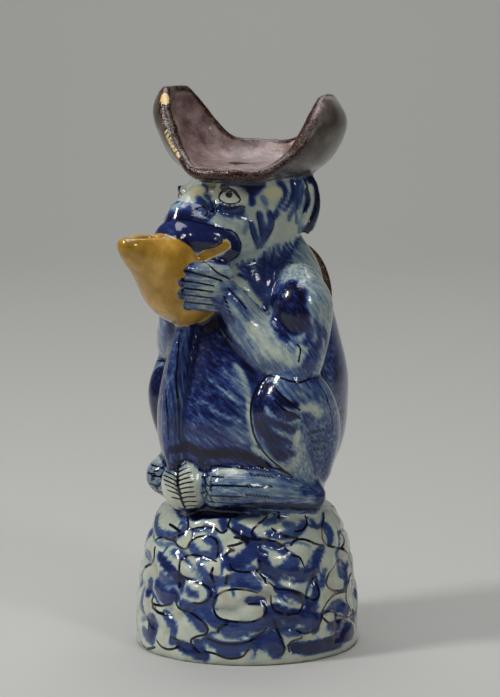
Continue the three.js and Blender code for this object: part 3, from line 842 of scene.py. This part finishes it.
FACE_LINES = [
    (1.16, [(220, 194), (224, 190), (229, 188.6), (234, 191), (239, 197)]),
    (0.55, [(220, 200), (225, 203), (230, 204), (235, 203.4), (239, 202)]),
    (0.72, [(239, 197), (240.5, 199.5), (239, 202)]),
    (0.72, [(220, 194), (218.6, 197), (220, 200)]),
    (2.9, [(228.2, 194.8), (229.4, 195.4)]),
    (0.65, [(220, 188), (224, 185.5), (228, 184.5)]),
    (0.58, [(223, 190), (222, 187.5)]),
    (0.58, [(227, 188), (226.4, 185.4)]),
    (0.72, [(240, 181.5), (252, 181), (264, 181.5)]),
    (0.65, [(216, 204), (222, 206.4), (230, 206.6), (240, 206), (245, 207)]),
    (0.43, [(249, 221), (252, 235), (258, 248)]),
    (0.43, [(257, 212), (259, 225), (261, 237)]),
    (0.43, [(270, 210), (274, 219), (273, 228), (266, 240)]),
    (0.72, [(154, 231), (160, 224.5), (170, 218.5), (187, 220), (205, 224), (220, 228.5), (232, 231),
        (239.5, 240), (241, 247), (235, 257), (222, 261), (212, 261)]),
    (0.72, [(177, 236), (185, 240), (191, 245), (202, 249), (214, 247), (222, 242)]),
    (0.72, [(202, 206.5), (206.6, 209), (207.4, 213), (204, 217), (199, 216.6), (196.6, 213),
        (197.4, 208.6), (202, 206.5)]),
    (0.58, [(214, 200), (216, 208), (214, 216)]),
    (0.87, [(180, 269), (190, 272), (202, 275), (213, 278), (222, 281)]),
    (0.72, [(181, 281), (192, 282), (204, 284), (214, 286)]),
    (0.72, [(180, 287.5), (191, 289), (203, 290.5), (213, 292)]),
    (0.72, [(181, 294.5), (192, 295.5), (203, 297), (213, 298)]),
    (0.72, [(184, 301.5), (194, 303), (204, 304), (213, 305)]),
    (0.72, [(203, 260), (210, 266), (218, 273), (230, 279)]),
    (0.87, [(305, 172), (313, 180), (318, 192), (319, 203), (315, 216), (309, 228), (304, 236)]),
    (0.87, [(303, 177), (307, 186), (308, 196), (306, 206), (303, 213)]),
    (0.72, [(302, 238), (307, 230), (312, 216)]),
]
FACE_WASHES = [
    (0.8, 1.3, [(222, 185.5), (232, 184), (243, 184)]),
    (1.59, 1.25, [(243, 184.5), (253, 184.5), (262, 184)]),
    (1.86, 1.25, [(249, 189), (254, 190), (257, 188)]),
    (1.15, 1.2, [(251, 195), (252, 203)]),
    (1.42, 0.9, [(203, 186), (206, 190), (208, 195)]),
    (1.15, 0.9, [(198, 197), (201, 200)]),
    (1.99, 1.05, [(219, 208), (230, 210), (240, 210)]),
    (1.33, 0.9, [(226, 213), (237, 213)]),
    (0.8, 0.9, [(222, 210), (224, 215)]),
    (0.8, 0.9, [(228, 211), (231, 217)]),
    (0.8, 0.9, [(234, 212), (238, 217)]),
    (0.8, 0.9, [(239, 211), (243, 216)]),
    (2.21, 1.35, [(294, 168), (292, 172)]),
    (1.86, 0.95, [(284, 173), (292, 182), (294, 190), (291, 198), (284, 207)]),
    (1.59, 0.9, [(278, 180), (285, 190), (285, 198), (280, 208), (274, 217)]),
    (1.5, 0.7, [(298, 176), (300, 190), (297, 205), (289, 218)]),
    (0.66, 0.15, [(289, 182), (290, 192), (286, 202), (279, 212)]),
    (1.33, 0.85, [(251, 223), (255, 236), (258, 246)]),
    (1.5, 0.9, [(259, 214), (262, 226), (262, 238)]),
    (1.5, 0.95, [(269, 213), (271, 222), (267, 234), (261, 245)]),
    (3.1, 1.15, [(162, 230), (172, 225), (184, 225), (198, 228), (212, 233), (226, 237)]),
    (3.1, 1.2, [(176, 236), (188, 236), (200, 239), (214, 241), (226, 241)]),
    (2.21, 1.25, [(188, 244), (200, 247), (212, 246)]),
    (2.43, 1.35, [(228, 239), (234, 243), (235.5, 249), (231, 255), (222, 258), (214, 258)]),
    (2.65, 1.05, [(160, 226), (170, 221), (184, 221)]),
    (3.32, 0.95, [(172, 212), (182, 211), (191, 212)]),
    (1.55, 1.5, [(174, 216), (184, 217), (193, 216)]),
    # A paler wash on top of the nose ball: painted light where it faces up.
    (1.33, 0.35, [(173, 206), (177, 205), (182, 206)]),
    (1.86, 0.6, [(200, 209), (203, 212), (201, 216)]),
    (1.06, 1.1, [(196, 218), (204, 221), (210, 216)]),
    (0.88, 1.1, [(211, 202), (213, 208), (211, 215)]),
    (5.31, 0.55, [(268, 274), (272, 270)]),
    (3.32, 0.8, [(262, 287), (272, 289), (280, 292)]),
    (2.65, 1.5, [(273, 300), (282, 304)]),
    (3.98, 1.6, [(290, 288), (297, 297)]),
    (1.33, 0.85, [(250, 280), (258, 292), (268, 303)]),
    (1.77, 0.6, [(222, 285), (236, 300), (250, 318)]),
    (1.42, 0.8, [(214, 300), (224, 312), (232, 322)]),
    (1.95, 1.6, [(307, 172), (315, 182), (318, 198), (315, 214), (307, 231)]),
    (1.15, 0.02, [(311, 186), (312, 198), (310, 210), (306, 222)]),
    (0.97, 1.4, [(306, 190), (308, 200), (305, 210)]),
    (0.88, 0.25, [(213, 172), (212, 182), (211, 192)]),
    (1.11, 0.45, [(245, 216), (247, 225), (244, 232)]),
    (1.33, 0.5, [(262, 196), (266, 204)]),
    (1.33, 0.02, [(217, 255), (222, 252)]),
]
WARM_WASHES_AND_HIGHLIGHT = [
    (3.46, 0.5, [(192, 180), (204, 179), (216, 178)]),
    (2.31, 0.45, [(192, 192), (200, 190)]),
    (0.85, 0.5, [(213, 170), (212, 182), (211, 194)]),
    (1.62, 2, [(200, 258), (212, 252), (226, 245)]),
    # This cream patch at the temple is a painted highlight, a reflection of the window.
    (2.31, 0.4, [(268, 192), (279, 193)]),
]
HAT_CHIP_AND_HIGHLIGHT = [
    (1.54, [(165, 95), (165, 101)]),
    # A golden line down the left horn's edge: a painted highlight, in the same cream as the chip above it.
    (0.5, [(166, 132), (169, 141), (174, 150), (179, 157)]),
]

for spots in PLINTH_LINES:
    line(PLINTH_SHEET, 0.96 if len(spots) > 3 else 1.2, *spots)
for half, amount, spots in PLINTH_WASHES:
    wash(PLINTH_SHEET, half, amount, *spots)
for width, spots in FIGURE_LINES:
    line(FIGURE_SHEET, width, *spots)
for half, amount, spots in FIGURE_WASHES:
    wash(FIGURE_SHEET, half, amount, *spots)
for width, spots in FACE_LINES:
    line(FACE_SHEET, width, *spots)
for half, amount, spots in FACE_WASHES:
    wash(FACE_SHEET, half, amount, *spots)
for half, amount, spots in WARM_WASHES_AND_HIGHLIGHT:
    lay(warm_and_highlight_strokes, FACE_SHEET, half, amount, spots, WASH_STEP, repeated=False)
for half, spots in HAT_CHIP_AND_HIGHLIGHT:
    lay(chip_and_highlight_strokes, FACE_SHEET, half, 1, spots, WASH_STEP, repeated=False)

for first, last, count, lean, width in (
    ((1250, 935), (1350, 905), 6, (7, 7), 0.52), ((1280, 990), (1370, 985), 5, (7, 7), 0.52),
    ((1290, 1045), (1360, 1030), 4, (6, 6), 0.52), ((845, 1218), (990, 1232), 7, (9, 10), 0.62),
    ((822, 1303), (985, 1302), 8, (8, 9), 0.6), ((815, 1362), (965, 1376), 7, (7, 8), 0.56),
):
    ticks(FIGURE_SHEET, first, last, count, lean, width)
ticks(FACE_SHEET, (229, 289), (245, 307), 6, (1.2, 1.4), 0.72)
ticks(FACE_SHEET, (224, 297), (231, 316), 5, (1.2, 1.0), 0.72)
for x, y in ((560, 1185), (560, 1260), (562, 1325), (565, 1385)):
    line(FIGURE_SHEET, 0.74, (x + 10, y - 14), (x - 4, y), (x + 10, y + 12))
for x, y in ((435, 1125), (488, 1188), (512, 1240), (512, 1300), (505, 1350)):
    line(FIGURE_SHEET, 1.3, (x - 3, y), (x + 3, y + 1))
for y in (275, 284, 290, 297):
    line(FACE_SHEET, 0.65, (183, y), (181.4, y + 2.4), (183.4, y + 4.2))

# Tuft: its hair is drawn as veins from a middle rib, and the beard as a fan of strokes from the neck.
VEINS_LEFT = [
    (300, 1115), (275, 1140), (258, 1165), (245, 1195), (235, 1225), (235, 1255), (245, 1290), (262, 1330),
    (290, 1380),
]
VEINS_RIGHT = [
    (375, 1115), (395, 1140), (415, 1172), (428, 1205), (438, 1238), (442, 1272), (445, 1308), (450, 1342),
    (458, 1376), (470, 1410), (470, 1440),
]
for tips, start, step, bow in ((VEINS_LEFT, 1162, 30.5, 6), (VEINS_RIGHT, 1150, 29.5, -6)):
    for k, (x, y) in enumerate(tips):
        high = start + step * k
        rib = (339 + 43 * max(0, (high - 1290) / 155) ** 1.5, high)
        fine_line(FIGURE_SHEET, 0.6, (x, y), ((x + rib[0]) / 2 + bow, (y + rib[1]) / 2 - 3), rib)
BEARD = [
    (231, 268), (236, 264), (242, 262), (248, 261), (254, 260), (259, 258), (264, 253),
    (269, 248), (275, 246), (280, 245), (286, 244), (291, 242), (297, 240), (303, 238),
]
for k, (x, y) in enumerate(BEARD):
    root = (262 + 0.9 * k, 286)
    bow = 1 if k < 6 else -1
    middle = ((x + root[0]) / 2 + bow, (y + root[1]) / 2 + 1)
    wash(FACE_SHEET, 0.75, 1.1 - 0.25 * (k % 2), (x, y), middle, root)


# Glazing: the fired jug is dipped in white tin glaze, and the colours are brushed on the raw glaze and
# sink into it in the kiln. Cobalt gives the blue hair and the lines, thick where it pools and thin
# where the brush dries out; manganese gives the brown hat and handle, and antimony the ochre shell.
INK_REACH = 2.2
KIND_REACH = 6
FAR_OFF = 9.0
OUTER_SKIN = 1.7
# For each kind of clay: how deep its plain cobalt is, and the way that its hair is brushed.
BRUSHED = {
    "plinth": (0.08, (1, 1, 0)), "body": (0.75, (0.55, 0.55, -0.62)), "thigh": (0.55, (0.46, 0.46, -0.75)),
    "shin": (0.35, (0.46, 0.46, -0.75)), "foot": (0.4, (-0.45, -0.9, 0.1)), "arm": (0.28, (-0.3, -0.45, 0.8)),
    "hand": (0.3, (-0.2, -1, 0.1)), "tail": (0.7, (0, -0.1, 1)), "tuft": (0.03, (0, 0, 1)),
    "head": (0.12, (0.4, 0.7, -0.6)), "muzzle": (0.2, (0.3, -0.9, 0.2)), "bridge": (0.15, (0, -0.8, 0.5)),
    "nose": (0.9, (0, -0.5, 0.8)), "eye": (0.03, (1, 0, 0)), "ear": (0.2, (0, 0.3, 1)),
    "hat": (0.1, (1, 1, 1)), "shell": (0.1, (0, 1, -0.3)), "handle": (0.1, (0, 0.3, 1)),
}
SMOOTH_KINDS = ("head", "muzzle", "bridge", "nose", "eye", "hat", "shell", "handle", "plinth")


def reach_of(corners, halves, spots, reach):
    """Corners within reach of a stroke: how far outside its edge, the way to its middle, its half width."""
    low, high = spots.min(0) - reach, spots.max(0) + reach
    near = np.nonzero(np.all((corners > low) & (corners < high), axis=1))[0]
    best, ways, half = np.full(len(near), 99.0), np.zeros((len(near), 3)), np.zeros(len(near))
    for start, end, wide in zip(spots, spots[1:], halves):
        run = end - start
        along = np.clip((corners[near] - start) @ run / max(run @ run, 1e-9), 0, 1)
        way = start + along[:, None] * run - corners[near]
        gap = np.sqrt((way * way).sum(1)) - wide
        closer = gap < best
        best[closer], ways[closer], half[closer] = gap[closer], way[closer], wide
    return near, best, ways, half


def rows_of(layer, name, scale=1):
    flat = np.empty(len(layer) * 3)
    layer.foreach_get(name, flat)
    return flat.reshape(-1, 3) * scale


def ink_of(corners, strokes):
    """For each corner: millimetres outside the nearest stroke, the way to its middle, its half width."""
    ink, ways, half = np.full(len(corners), FAR_OFF), np.zeros((len(corners), 3)), np.full(len(corners), 0.4)
    for halves, _, spots in strokes:
        near, gap, way, wide = reach_of(corners, halves, spots, INK_REACH)
        closer = gap < ink[near]
        chosen = near[closer]
        ink[chosen], ways[chosen], half[chosen] = gap[closer], way[closer], wide[closer]
    return ink, ways, half


for strokes, closer_mm in (((line_strokes, 0.35), (fine_strokes, 0.2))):
    wanted = ink_of(rows_of(jug.data.vertices, "co", 1000), strokes)[0] < closer_mm
    bpy.ops.object.select_all(action="DESELECT")
    jug.select_set(True)
    bpy.context.view_layer.objects.active = jug
    bpy.ops.object.mode_set(mode="EDIT")
    bpy.ops.mesh.select_all(action="DESELECT")
    bpy.ops.object.mode_set(mode="OBJECT")
    for face in jug.data.polygons:
        face.select = bool(wanted[list(face.vertices)].any())
    bpy.ops.object.mode_set(mode="EDIT")
    bpy.ops.mesh.select_mode(type="FACE")
    bpy.ops.mesh.subdivide(number_cuts=1)
    bpy.ops.object.mode_set(mode="OBJECT")
corners = rows_of(jug.data.vertices, "co", 1000)
ink, ink_way, ink_half = ink_of(corners, line_strokes)

names = list(clay)
far = np.full((len(names), len(corners)), FAR_OFF)
spots = [Vector(spot) for spot in corners / 1000]
for row, name in enumerate(names):
    find = trees[name].find_nearest
    low, high = boxes[name]
    close = np.nonzero(np.all((corners > low - KIND_REACH) & (corners < high + KIND_REACH), axis=1))[0]
    for k in close:
        hit = find(spots[k], KIND_REACH / 1000)
        if hit[0] is not None:
            far[row, k] = hit[3] * 1000
nearest = far.argmin(0)
ranked = np.sort(far, axis=0)
seam = ranked[1] - ranked[0]
in_hollow = ranked[0] > OUTER_SKIN


def edge_of(kind):
    """Millimetres inside a kind of clay, below 0 outside it."""
    mine = names.index(kind)
    return np.delete(far, mine, axis=0).min(0) - far[mine]


def cover_of(gap, soft):
    """How much a brush covers, from 1 well inside its edge to 0 outside."""
    return np.clip(0.5 - gap / soft, 0, 1)


rocky = nearest == names.index("plinth")
smooth_clay = np.isin(nearest, [names.index(name) for name in SMOOTH_KINDS])
back_hair = np.clip((corners[:, 1] - 12) / 7, 0, 1) * (nearest == names.index("head"))
wash = np.array([BRUSHED[name][0] for name in names])[nearest]
# The wash deepens near the seams between the rough kinds of clay: partly cobalt pooled there, partly painted
# shade in the creases.
wash = wash + 0.6 * np.exp(-seam / 1.1) * ~smooth_clay + 0.4 * back_hair
clefts = [
    1 - rocks(math.atan2(y, x), z / SEAT) if FOOT_BAND < z < SEAT - 0.5 else 0 for x, y, z in corners
]
patches = np.sin(corners[:, 0] / 6 + 2 * np.sin(corners[:, 2] / 7)) * np.sin(corners[:, 1] / 5 + 1)
clefts = np.clip((np.where(rocky, clefts, 0) - 0.4) / 0.4, 0, 1)
wash = wash + 0.75 * clefts * np.clip(0.5 + 2.2 * patches, 0, 1)
for half, amount, spots_on in wash_strokes:
    near, gap, _, _ = reach_of(corners, half, spots_on, half.max() + 2)
    soft = np.where(rocky[near], 0.45, 0.3 + 0.3 * half.max())
    cover = cover_of(gap, 2 * soft)
    cover = cover * cover * (3 - 2 * cover)
    wash[near] = wash[near] * (1 - cover) + amount * cover
warm = np.zeros(len(corners))
chip_and_highlight = np.zeros(len(corners))
for strokes, cover, soft in ((warm_and_highlight_strokes, warm, 1.2), (chip_and_highlight_strokes, chip_and_highlight, 0.8)):
    for half, amount, spots_on in strokes:
        near, gap, _, _ = reach_of(corners, half, spots_on, half.max() + 2)
        cover[near] = np.maximum(cover[near], amount * cover_of(gap, soft))
wash[in_hollow] = 0.02
ink[in_hollow] = FAR_OFF

# The dry brush's streaks: space is drawn out along the way that each kind of clay is brushed.
STREAK_LENGTH = 8
STREAK_WIDTH = 1.2
flow = np.zeros((len(corners), 3))
folded = np.abs(corners) * [1, 0, 0] + corners * [0, 1, 1]
for row, name in enumerate(names):
    along = Vector(BRUSHED[name][1]).normalized()
    across = along.cross(Vector((0.3, -0.5, 0.8))).normalized()
    over = along.cross(across)
    mine = nearest == row
    squeezed = np.array([along / STREAK_LENGTH, across / STREAK_WIDTH, over / STREAK_WIDTH])
    flow[mine] = folded[mine] @ squeezed.T

rim_mm = np.full(len(corners), 20.0)
hatted = nearest == names.index("hat")
for turn in range(0, 360, 2):
    spot = np.array(hat_spot(0.5, math.radians(turn))) + [0, 0, SEAT]
    rim_mm[hatted] = np.minimum(rim_mm[hatted], np.sqrt(((corners[hatted] - spot) ** 2).sum(1)))
# This share is where the glaze faces outward and down; it paints shade on the hat's outside.
facing = rows_of(jug.data.vertices, "normal")
outward = (facing[:, :2] * corners[:, :2]).sum(1) / np.hypot(corners[:, 0], corners[:, 1]).clip(1)
for kind, kept in {
    "FLOAT_VECTOR": {"ink_way": ink_way, "flow": flow},
    "FLOAT": {
        "ink_mm": ink, "ink_half": ink_half, "wash": wash, "warm": warm, "chip_and_highlight": chip_and_highlight, "rock": rocky,
        "hat_mm": edge_of("hat"), "shell_mm": edge_of("shell"), "handle_mm": edge_of("handle"),
        "rim_mm": rim_mm, "under": np.clip((outward - facing[:, 2]) * 3, 0, 1),
        "hair": np.where(smooth_clay, 0.25, 1.0) + 0.75 * back_hair,
    },
}.items():
    for name, values in kept.items():
        layer = jug.data.attributes.new(name, kind, "POINT")
        field = "vector" if kind == "FLOAT_VECTOR" else "value"
        layer.data.foreach_set(field, np.asarray(values, float).ravel())


# Tin glaze: white, a little green, glassy and uneven, so highlights break up on it. The cobalt runs
# from a thin grey-blue to nearly black, and the manganese and the ochre are mottled.
tin_glaze = bpy.data.materials.new("tin_glaze_over_fired_clay")
tin_glaze.use_nodes = True
paint = tin_glaze.node_tree
# Each pattern's size in millimetres, detail and roughness.
PATTERNS = {
    "cloud": (8.33, 3, 0.6), "grit": (0.625, 3, 0.7), "shake": (1.11, 2, 0.5), "pool": (10, 4, 0.6),
    "mottle": (7.14, 4, 0.65), "tint": (9.09, 2, 0.5), "slip": (8.33, 4, 0.6), "speck": (2, 3, 0.5),
    "swell": (4, 2, 0.5), "ripple": (0.91, 2, 0.5), "tooth": (1.43, 4, 0.7),
}
COBALT = [
    (0, "#c6cab6"), (0.1, "#a2afa9"), (0.22, "#647b94"), (0.36, "#34477a"), (0.52, "#1a2556"),
    (0.74, "#0d1033"), (1, "#060716"),
]
MANGANESE = [(0.28, "#3a2724"), (0.46, "#7b6462"), (0.66, "#b09c97")]
# A darker taupe, for painted shade on the hat's outward, down-facing side.
SHADED_TAUPE = [(0.3, "#362f2a"), (0.5, "#4d453e"), (0.7, "#675e54")]
BURNT_RIM = [(0.38, "#0e0504"), (0.53, "#2c1410"), (0.66, "#80563f")]
OCHRE = [(0.3, "#8f6d1f"), (0.5, "#b58a35"), (0.72, "#d8ac58")]
HANDLE_BROWN = [(0.34, "#140805"), (0.52, "#35190f"), (0.72, "#94672c")]


def linear(code):
    """An sRGB hex colour as linear values."""
    parts = [int(code[k:k + 2], 16) / 255 for k in (1, 3, 5)]
    return [c / 12.92 if c <= 0.04045 else ((c + 0.055) / 1.055) ** 2.4 for c in parts] + [1]


def node(kind, sockets, output=0, stops=(), **settings):
    """Adds a node with its settings, values or links on its sockets and, on a ramp, its stops."""
    made = paint.nodes.new("ShaderNode" + kind)
    for name, value in settings.items():
        setattr(made, name, value)
    for socket, value in sockets.items():
        if isinstance(value, bpy.types.NodeSocket):
            paint.links.new(value, made.inputs[socket])
        else:
            made.inputs[socket].default_value = value
    for position, _ in stops[1:-1]:
        made.color_ramp.elements.new(position)
    for k, (position, code) in enumerate(stops):
        made.color_ramp.elements[k].position = position
        made.color_ramp.elements[k].color = linear(code)
    return made.outputs[output]


mm = node("VectorMath", {0: node("TexCoord", {}, "Object"), "Scale": 1000}, operation="SCALE")
pattern = {
    name: node("TexNoise", {"Vector": mm, "Scale": 1 / size, "Detail": detail, "Roughness": rough}, "Fac")
    for name, (size, detail, rough) in PATTERNS.items()
}
given = {
    layer.name: node("Attribute", {}, "Fac", attribute_name=layer.name)
    for layer in jug.data.attributes if layer.data_type == "FLOAT"
}
flow_way = node("Attribute", {}, "Vector", attribute_name="flow")
streak = node("TexNoise", {"Vector": flow_way, "Scale": 1, "Detail": 3, "Roughness": 0.6}, "Fac")
streak = node("Math", {0: streak, 1: 0.5}, operation="SUBTRACT")
strength = node("Math", {0: given["wash"], 1: 1.6, 2: 0.45}, operation="MULTIPLY_ADD")
strength = node("Math", {0: given["hair"], 1: strength}, operation="MULTIPLY")
tone = node("Math", {0: streak, 1: strength, 2: given["wash"]}, operation="MULTIPLY_ADD")
tone = node("Math", {0: pattern["cloud"], 1: 0.35, 2: tone}, operation="MULTIPLY_ADD")
tone = node("Math", {0: pattern["grit"], 1: 0.25, 2: tone}, operation="MULTIPLY_ADD")
depth = node("Math", {0: tone, 1: 0.5, 2: -0.15}, operation="MULTIPLY_ADD")
ink_line = node("Attribute", {}, "Vector", attribute_name="ink_way")
edge = node("VectorMath", {0: ink_line}, "Value", operation="LENGTH")
edge = node("Math", {0: edge, 1: given["ink_half"]}, operation="SUBTRACT")
edge = node("Math", {0: pattern["shake"], 1: 0.35, 2: edge}, operation="MULTIPLY_ADD")
# The dark rim runs wider down the hat's outward, down-facing side, partly as painted shade under the brim's
# edge.
rim = node("Math", {0: given["under"], 1: -1.4, 2: given["rim_mm"]}, operation="MULTIPLY_ADD")
rim = node("Math", {0: pattern["cloud"], 1: 2.4, 2: rim}, operation="MULTIPLY_ADD")

# Each share of a coat: the value that it follows, from where to where, and the share at both ends.
shares = {
    name: node("MapRange", dict(enumerate(row)), interpolation_type="SMOOTHSTEP")
    for name, row in {
        "cream": (given["warm"], 0, 0.5, 0, 0.85), "ochre": (given["warm"], 0.6, 1, 0, 1),
        "close_by": (given["ink_mm"], 0.22, 0.42, 1, 0), "line": (edge, 0.075, 0.315, 1, 0),
        "tint": (pattern["tint"], 0.5, 0.7, 0, 0.45), "pale": (tone, 0.4, 0.8, 1, 0),
        "rim": (rim, 3.4, 4.4, 1, 0), "chip_and_highlight": (given["chip_and_highlight"], 0.1, 0.6, 0, 1),
        "shell": (given["shell_mm"], -0.2, 0.25, 0, 1), "handle": (given["handle_mm"], -0.2, 0.25, 0, 1),
        "hat": (given["hat_mm"], -0.25, 0.3, 0, 1), "rough": (given["hat_mm"], -0.25, 0.5, 0, 1.6),
    }.items()
}
inked = node("Math", {0: shares["line"], 1: shares["close_by"]}, operation="MULTIPLY")
bare_rock = node("Math", {0: given["rock"], 1: shares["tint"]}, operation="MULTIPLY")
bare_rock = node("Math", {0: bare_rock, 1: shares["pale"]}, operation="MULTIPLY")
mottled = node("Math", {0: pattern["grit"], 1: 0.3}, operation="MULTIPLY")
mottled = node("Math", {0: pattern["mottle"], 1: 0.7, 2: mottled}, operation="MULTIPLY_ADD")
manganese = node("ValToRGB", {0: mottled}, stops=MANGANESE)
for share, over in (
    # Painted shade: the hat's outward, down-facing side is a darker taupe.
    (given["under"], node("ValToRGB", {0: pattern["slip"]}, stops=SHADED_TAUPE)),
    (shares["rim"], node("ValToRGB", {0: pattern["grit"]}, stops=BURNT_RIM)),
    # Cream of bare clay at the chip, and a painted highlight down the left horn's edge.
    (shares["chip_and_highlight"], linear("#d9bd84")),
):
    manganese = node("Mix", {0: share, 6: manganese, 7: over}, 2, data_type="RGBA")
colour = node("ValToRGB", {0: depth}, stops=COBALT)
for share, over in (
    # The cream is the forehead's warm glaze, and at the temple a painted highlight.
    (shares["cream"], linear("#cfc79b")),
    (shares["ochre"], linear("#a67c22")),
    (inked, linear("#0a0b1c")),
    (bare_rock, linear("#a89a86")),
    (shares["shell"], node("ValToRGB", {0: pattern["pool"]}, stops=OCHRE)),
    (shares["handle"], node("ValToRGB", {0: pattern["speck"]}, stops=HANDLE_BROWN)),
    (shares["hat"], manganese),
):
    colour = node("Mix", {0: share, 6: colour, 7: over}, 2, data_type="RGBA")
waves = node("Math", {0: pattern["ripple"], 1: 0.2}, operation="MULTIPLY")
waves = node("Math", {0: pattern["swell"], 1: 0.8, 2: waves}, operation="MULTIPLY_ADD")
waves = node("Math", {0: pattern["tooth"], 1: shares["rough"], 2: waves}, operation="MULTIPLY_ADD")
bump = node("Bump", {"Strength": 0.35, "Distance": 0.0006, "Height": waves})
shader = paint.nodes["Principled BSDF"]
for socket, value in {
    "Roughness": 0.22, "IOR": 1.5, "Specular IOR Level": 0.12, "Coat Weight": 0.8, "Coat Roughness": 0.04,
}.items():
    shader.inputs[socket].default_value = value
paint.links.new(colour, shader.inputs["Base Color"])
paint.links.new(bump, shader.inputs["Normal"])
paint.links.new(bump, shader.inputs["Coat Normal"])
jug.data.materials.clear()
jug.data.materials.append(tin_glaze)
bpy.ops.object.shade_smooth()
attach(jug, "root")
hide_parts("monkey_jug")


# Studio: the jug stands on a plain pale sweep of paper that curves up behind it, in soft daylight
# from a large window in front of it on the left and a weaker one on the right. A roof light fills
# the shadows, and a light behind falls on the paper.
bpy.ops.object.select_all(action="DESELECT")
bpy.ops.mesh.primitive_grid_add(x_subdivisions=2, y_subdivisions=40, size=2)
sweep = bpy.context.object
sweep.name = "paper_sweep"
for corner in sweep.data.vertices:
    run = (corner.co.y + 1) / 2 * 5 - 1.6
    curve = min(max(run - 1.6, 0), 1.2 * math.pi / 2) / 1.2
    along = min(run, 1.6) + 1.2 * math.sin(curve)
    up = 1.2 * (1 - math.cos(curve)) + max(run - 1.6 - 1.2 * math.pi / 2, 0)
    corner.co = Vector((corner.co.x * 3, along, up))
bpy.ops.object.shade_smooth()
sweep.rotation_euler = (0, 0, math.radians(45))
paper = bpy.data.materials.new("pale_paper")
paper.use_nodes = True
sheet = paper.node_tree.nodes["Principled BSDF"]
sheet.inputs["Base Color"].default_value = linear("#aeaeab")
sheet.inputs["Roughness"].default_value = 0.9
sweep.data.materials.append(paper)
world = bpy.data.worlds.new("soft_daylight")
bpy.context.scene.world = world
world.use_nodes = True
world.node_tree.nodes["Background"].inputs["Color"].default_value = linear("#dcdcd8")
world.node_tree.nodes["Background"].inputs["Strength"].default_value = 0.08
for name, spot, size, power in (
    ("window", (-0.35, -0.9, 0.85), 0.34, 9), ("side_window", (1.1, -0.2, 0.8), 0.3, 3),
    ("roof_light", (0.1, -0.1, 1.5), 1.0, 10),
):
    bpy.ops.object.light_add(type="AREA", location=spot)
    lamp = bpy.context.object
    lamp.name = name
    lamp.data.shape = "RECTANGLE"
    lamp.data.size = size * 0.6
    lamp.data.size_y = size
    lamp.data.energy = power
    lamp.rotation_euler = (Vector((0, 0, 0.11)) - lamp.location).to_track_quat("-Z", "Y").to_euler()
bpy.ops.object.light_add(
    type="AREA", location=(-0.9, 0.9, 2.2), rotation=(math.radians(30), 0, math.radians(45))
)
wall_light = bpy.context.object
wall_light.name = "wall_light"
wall_light.data.size = 1.6
wall_light.data.energy = 30
bpy.context.scene.view_settings.view_transform = "Standard"
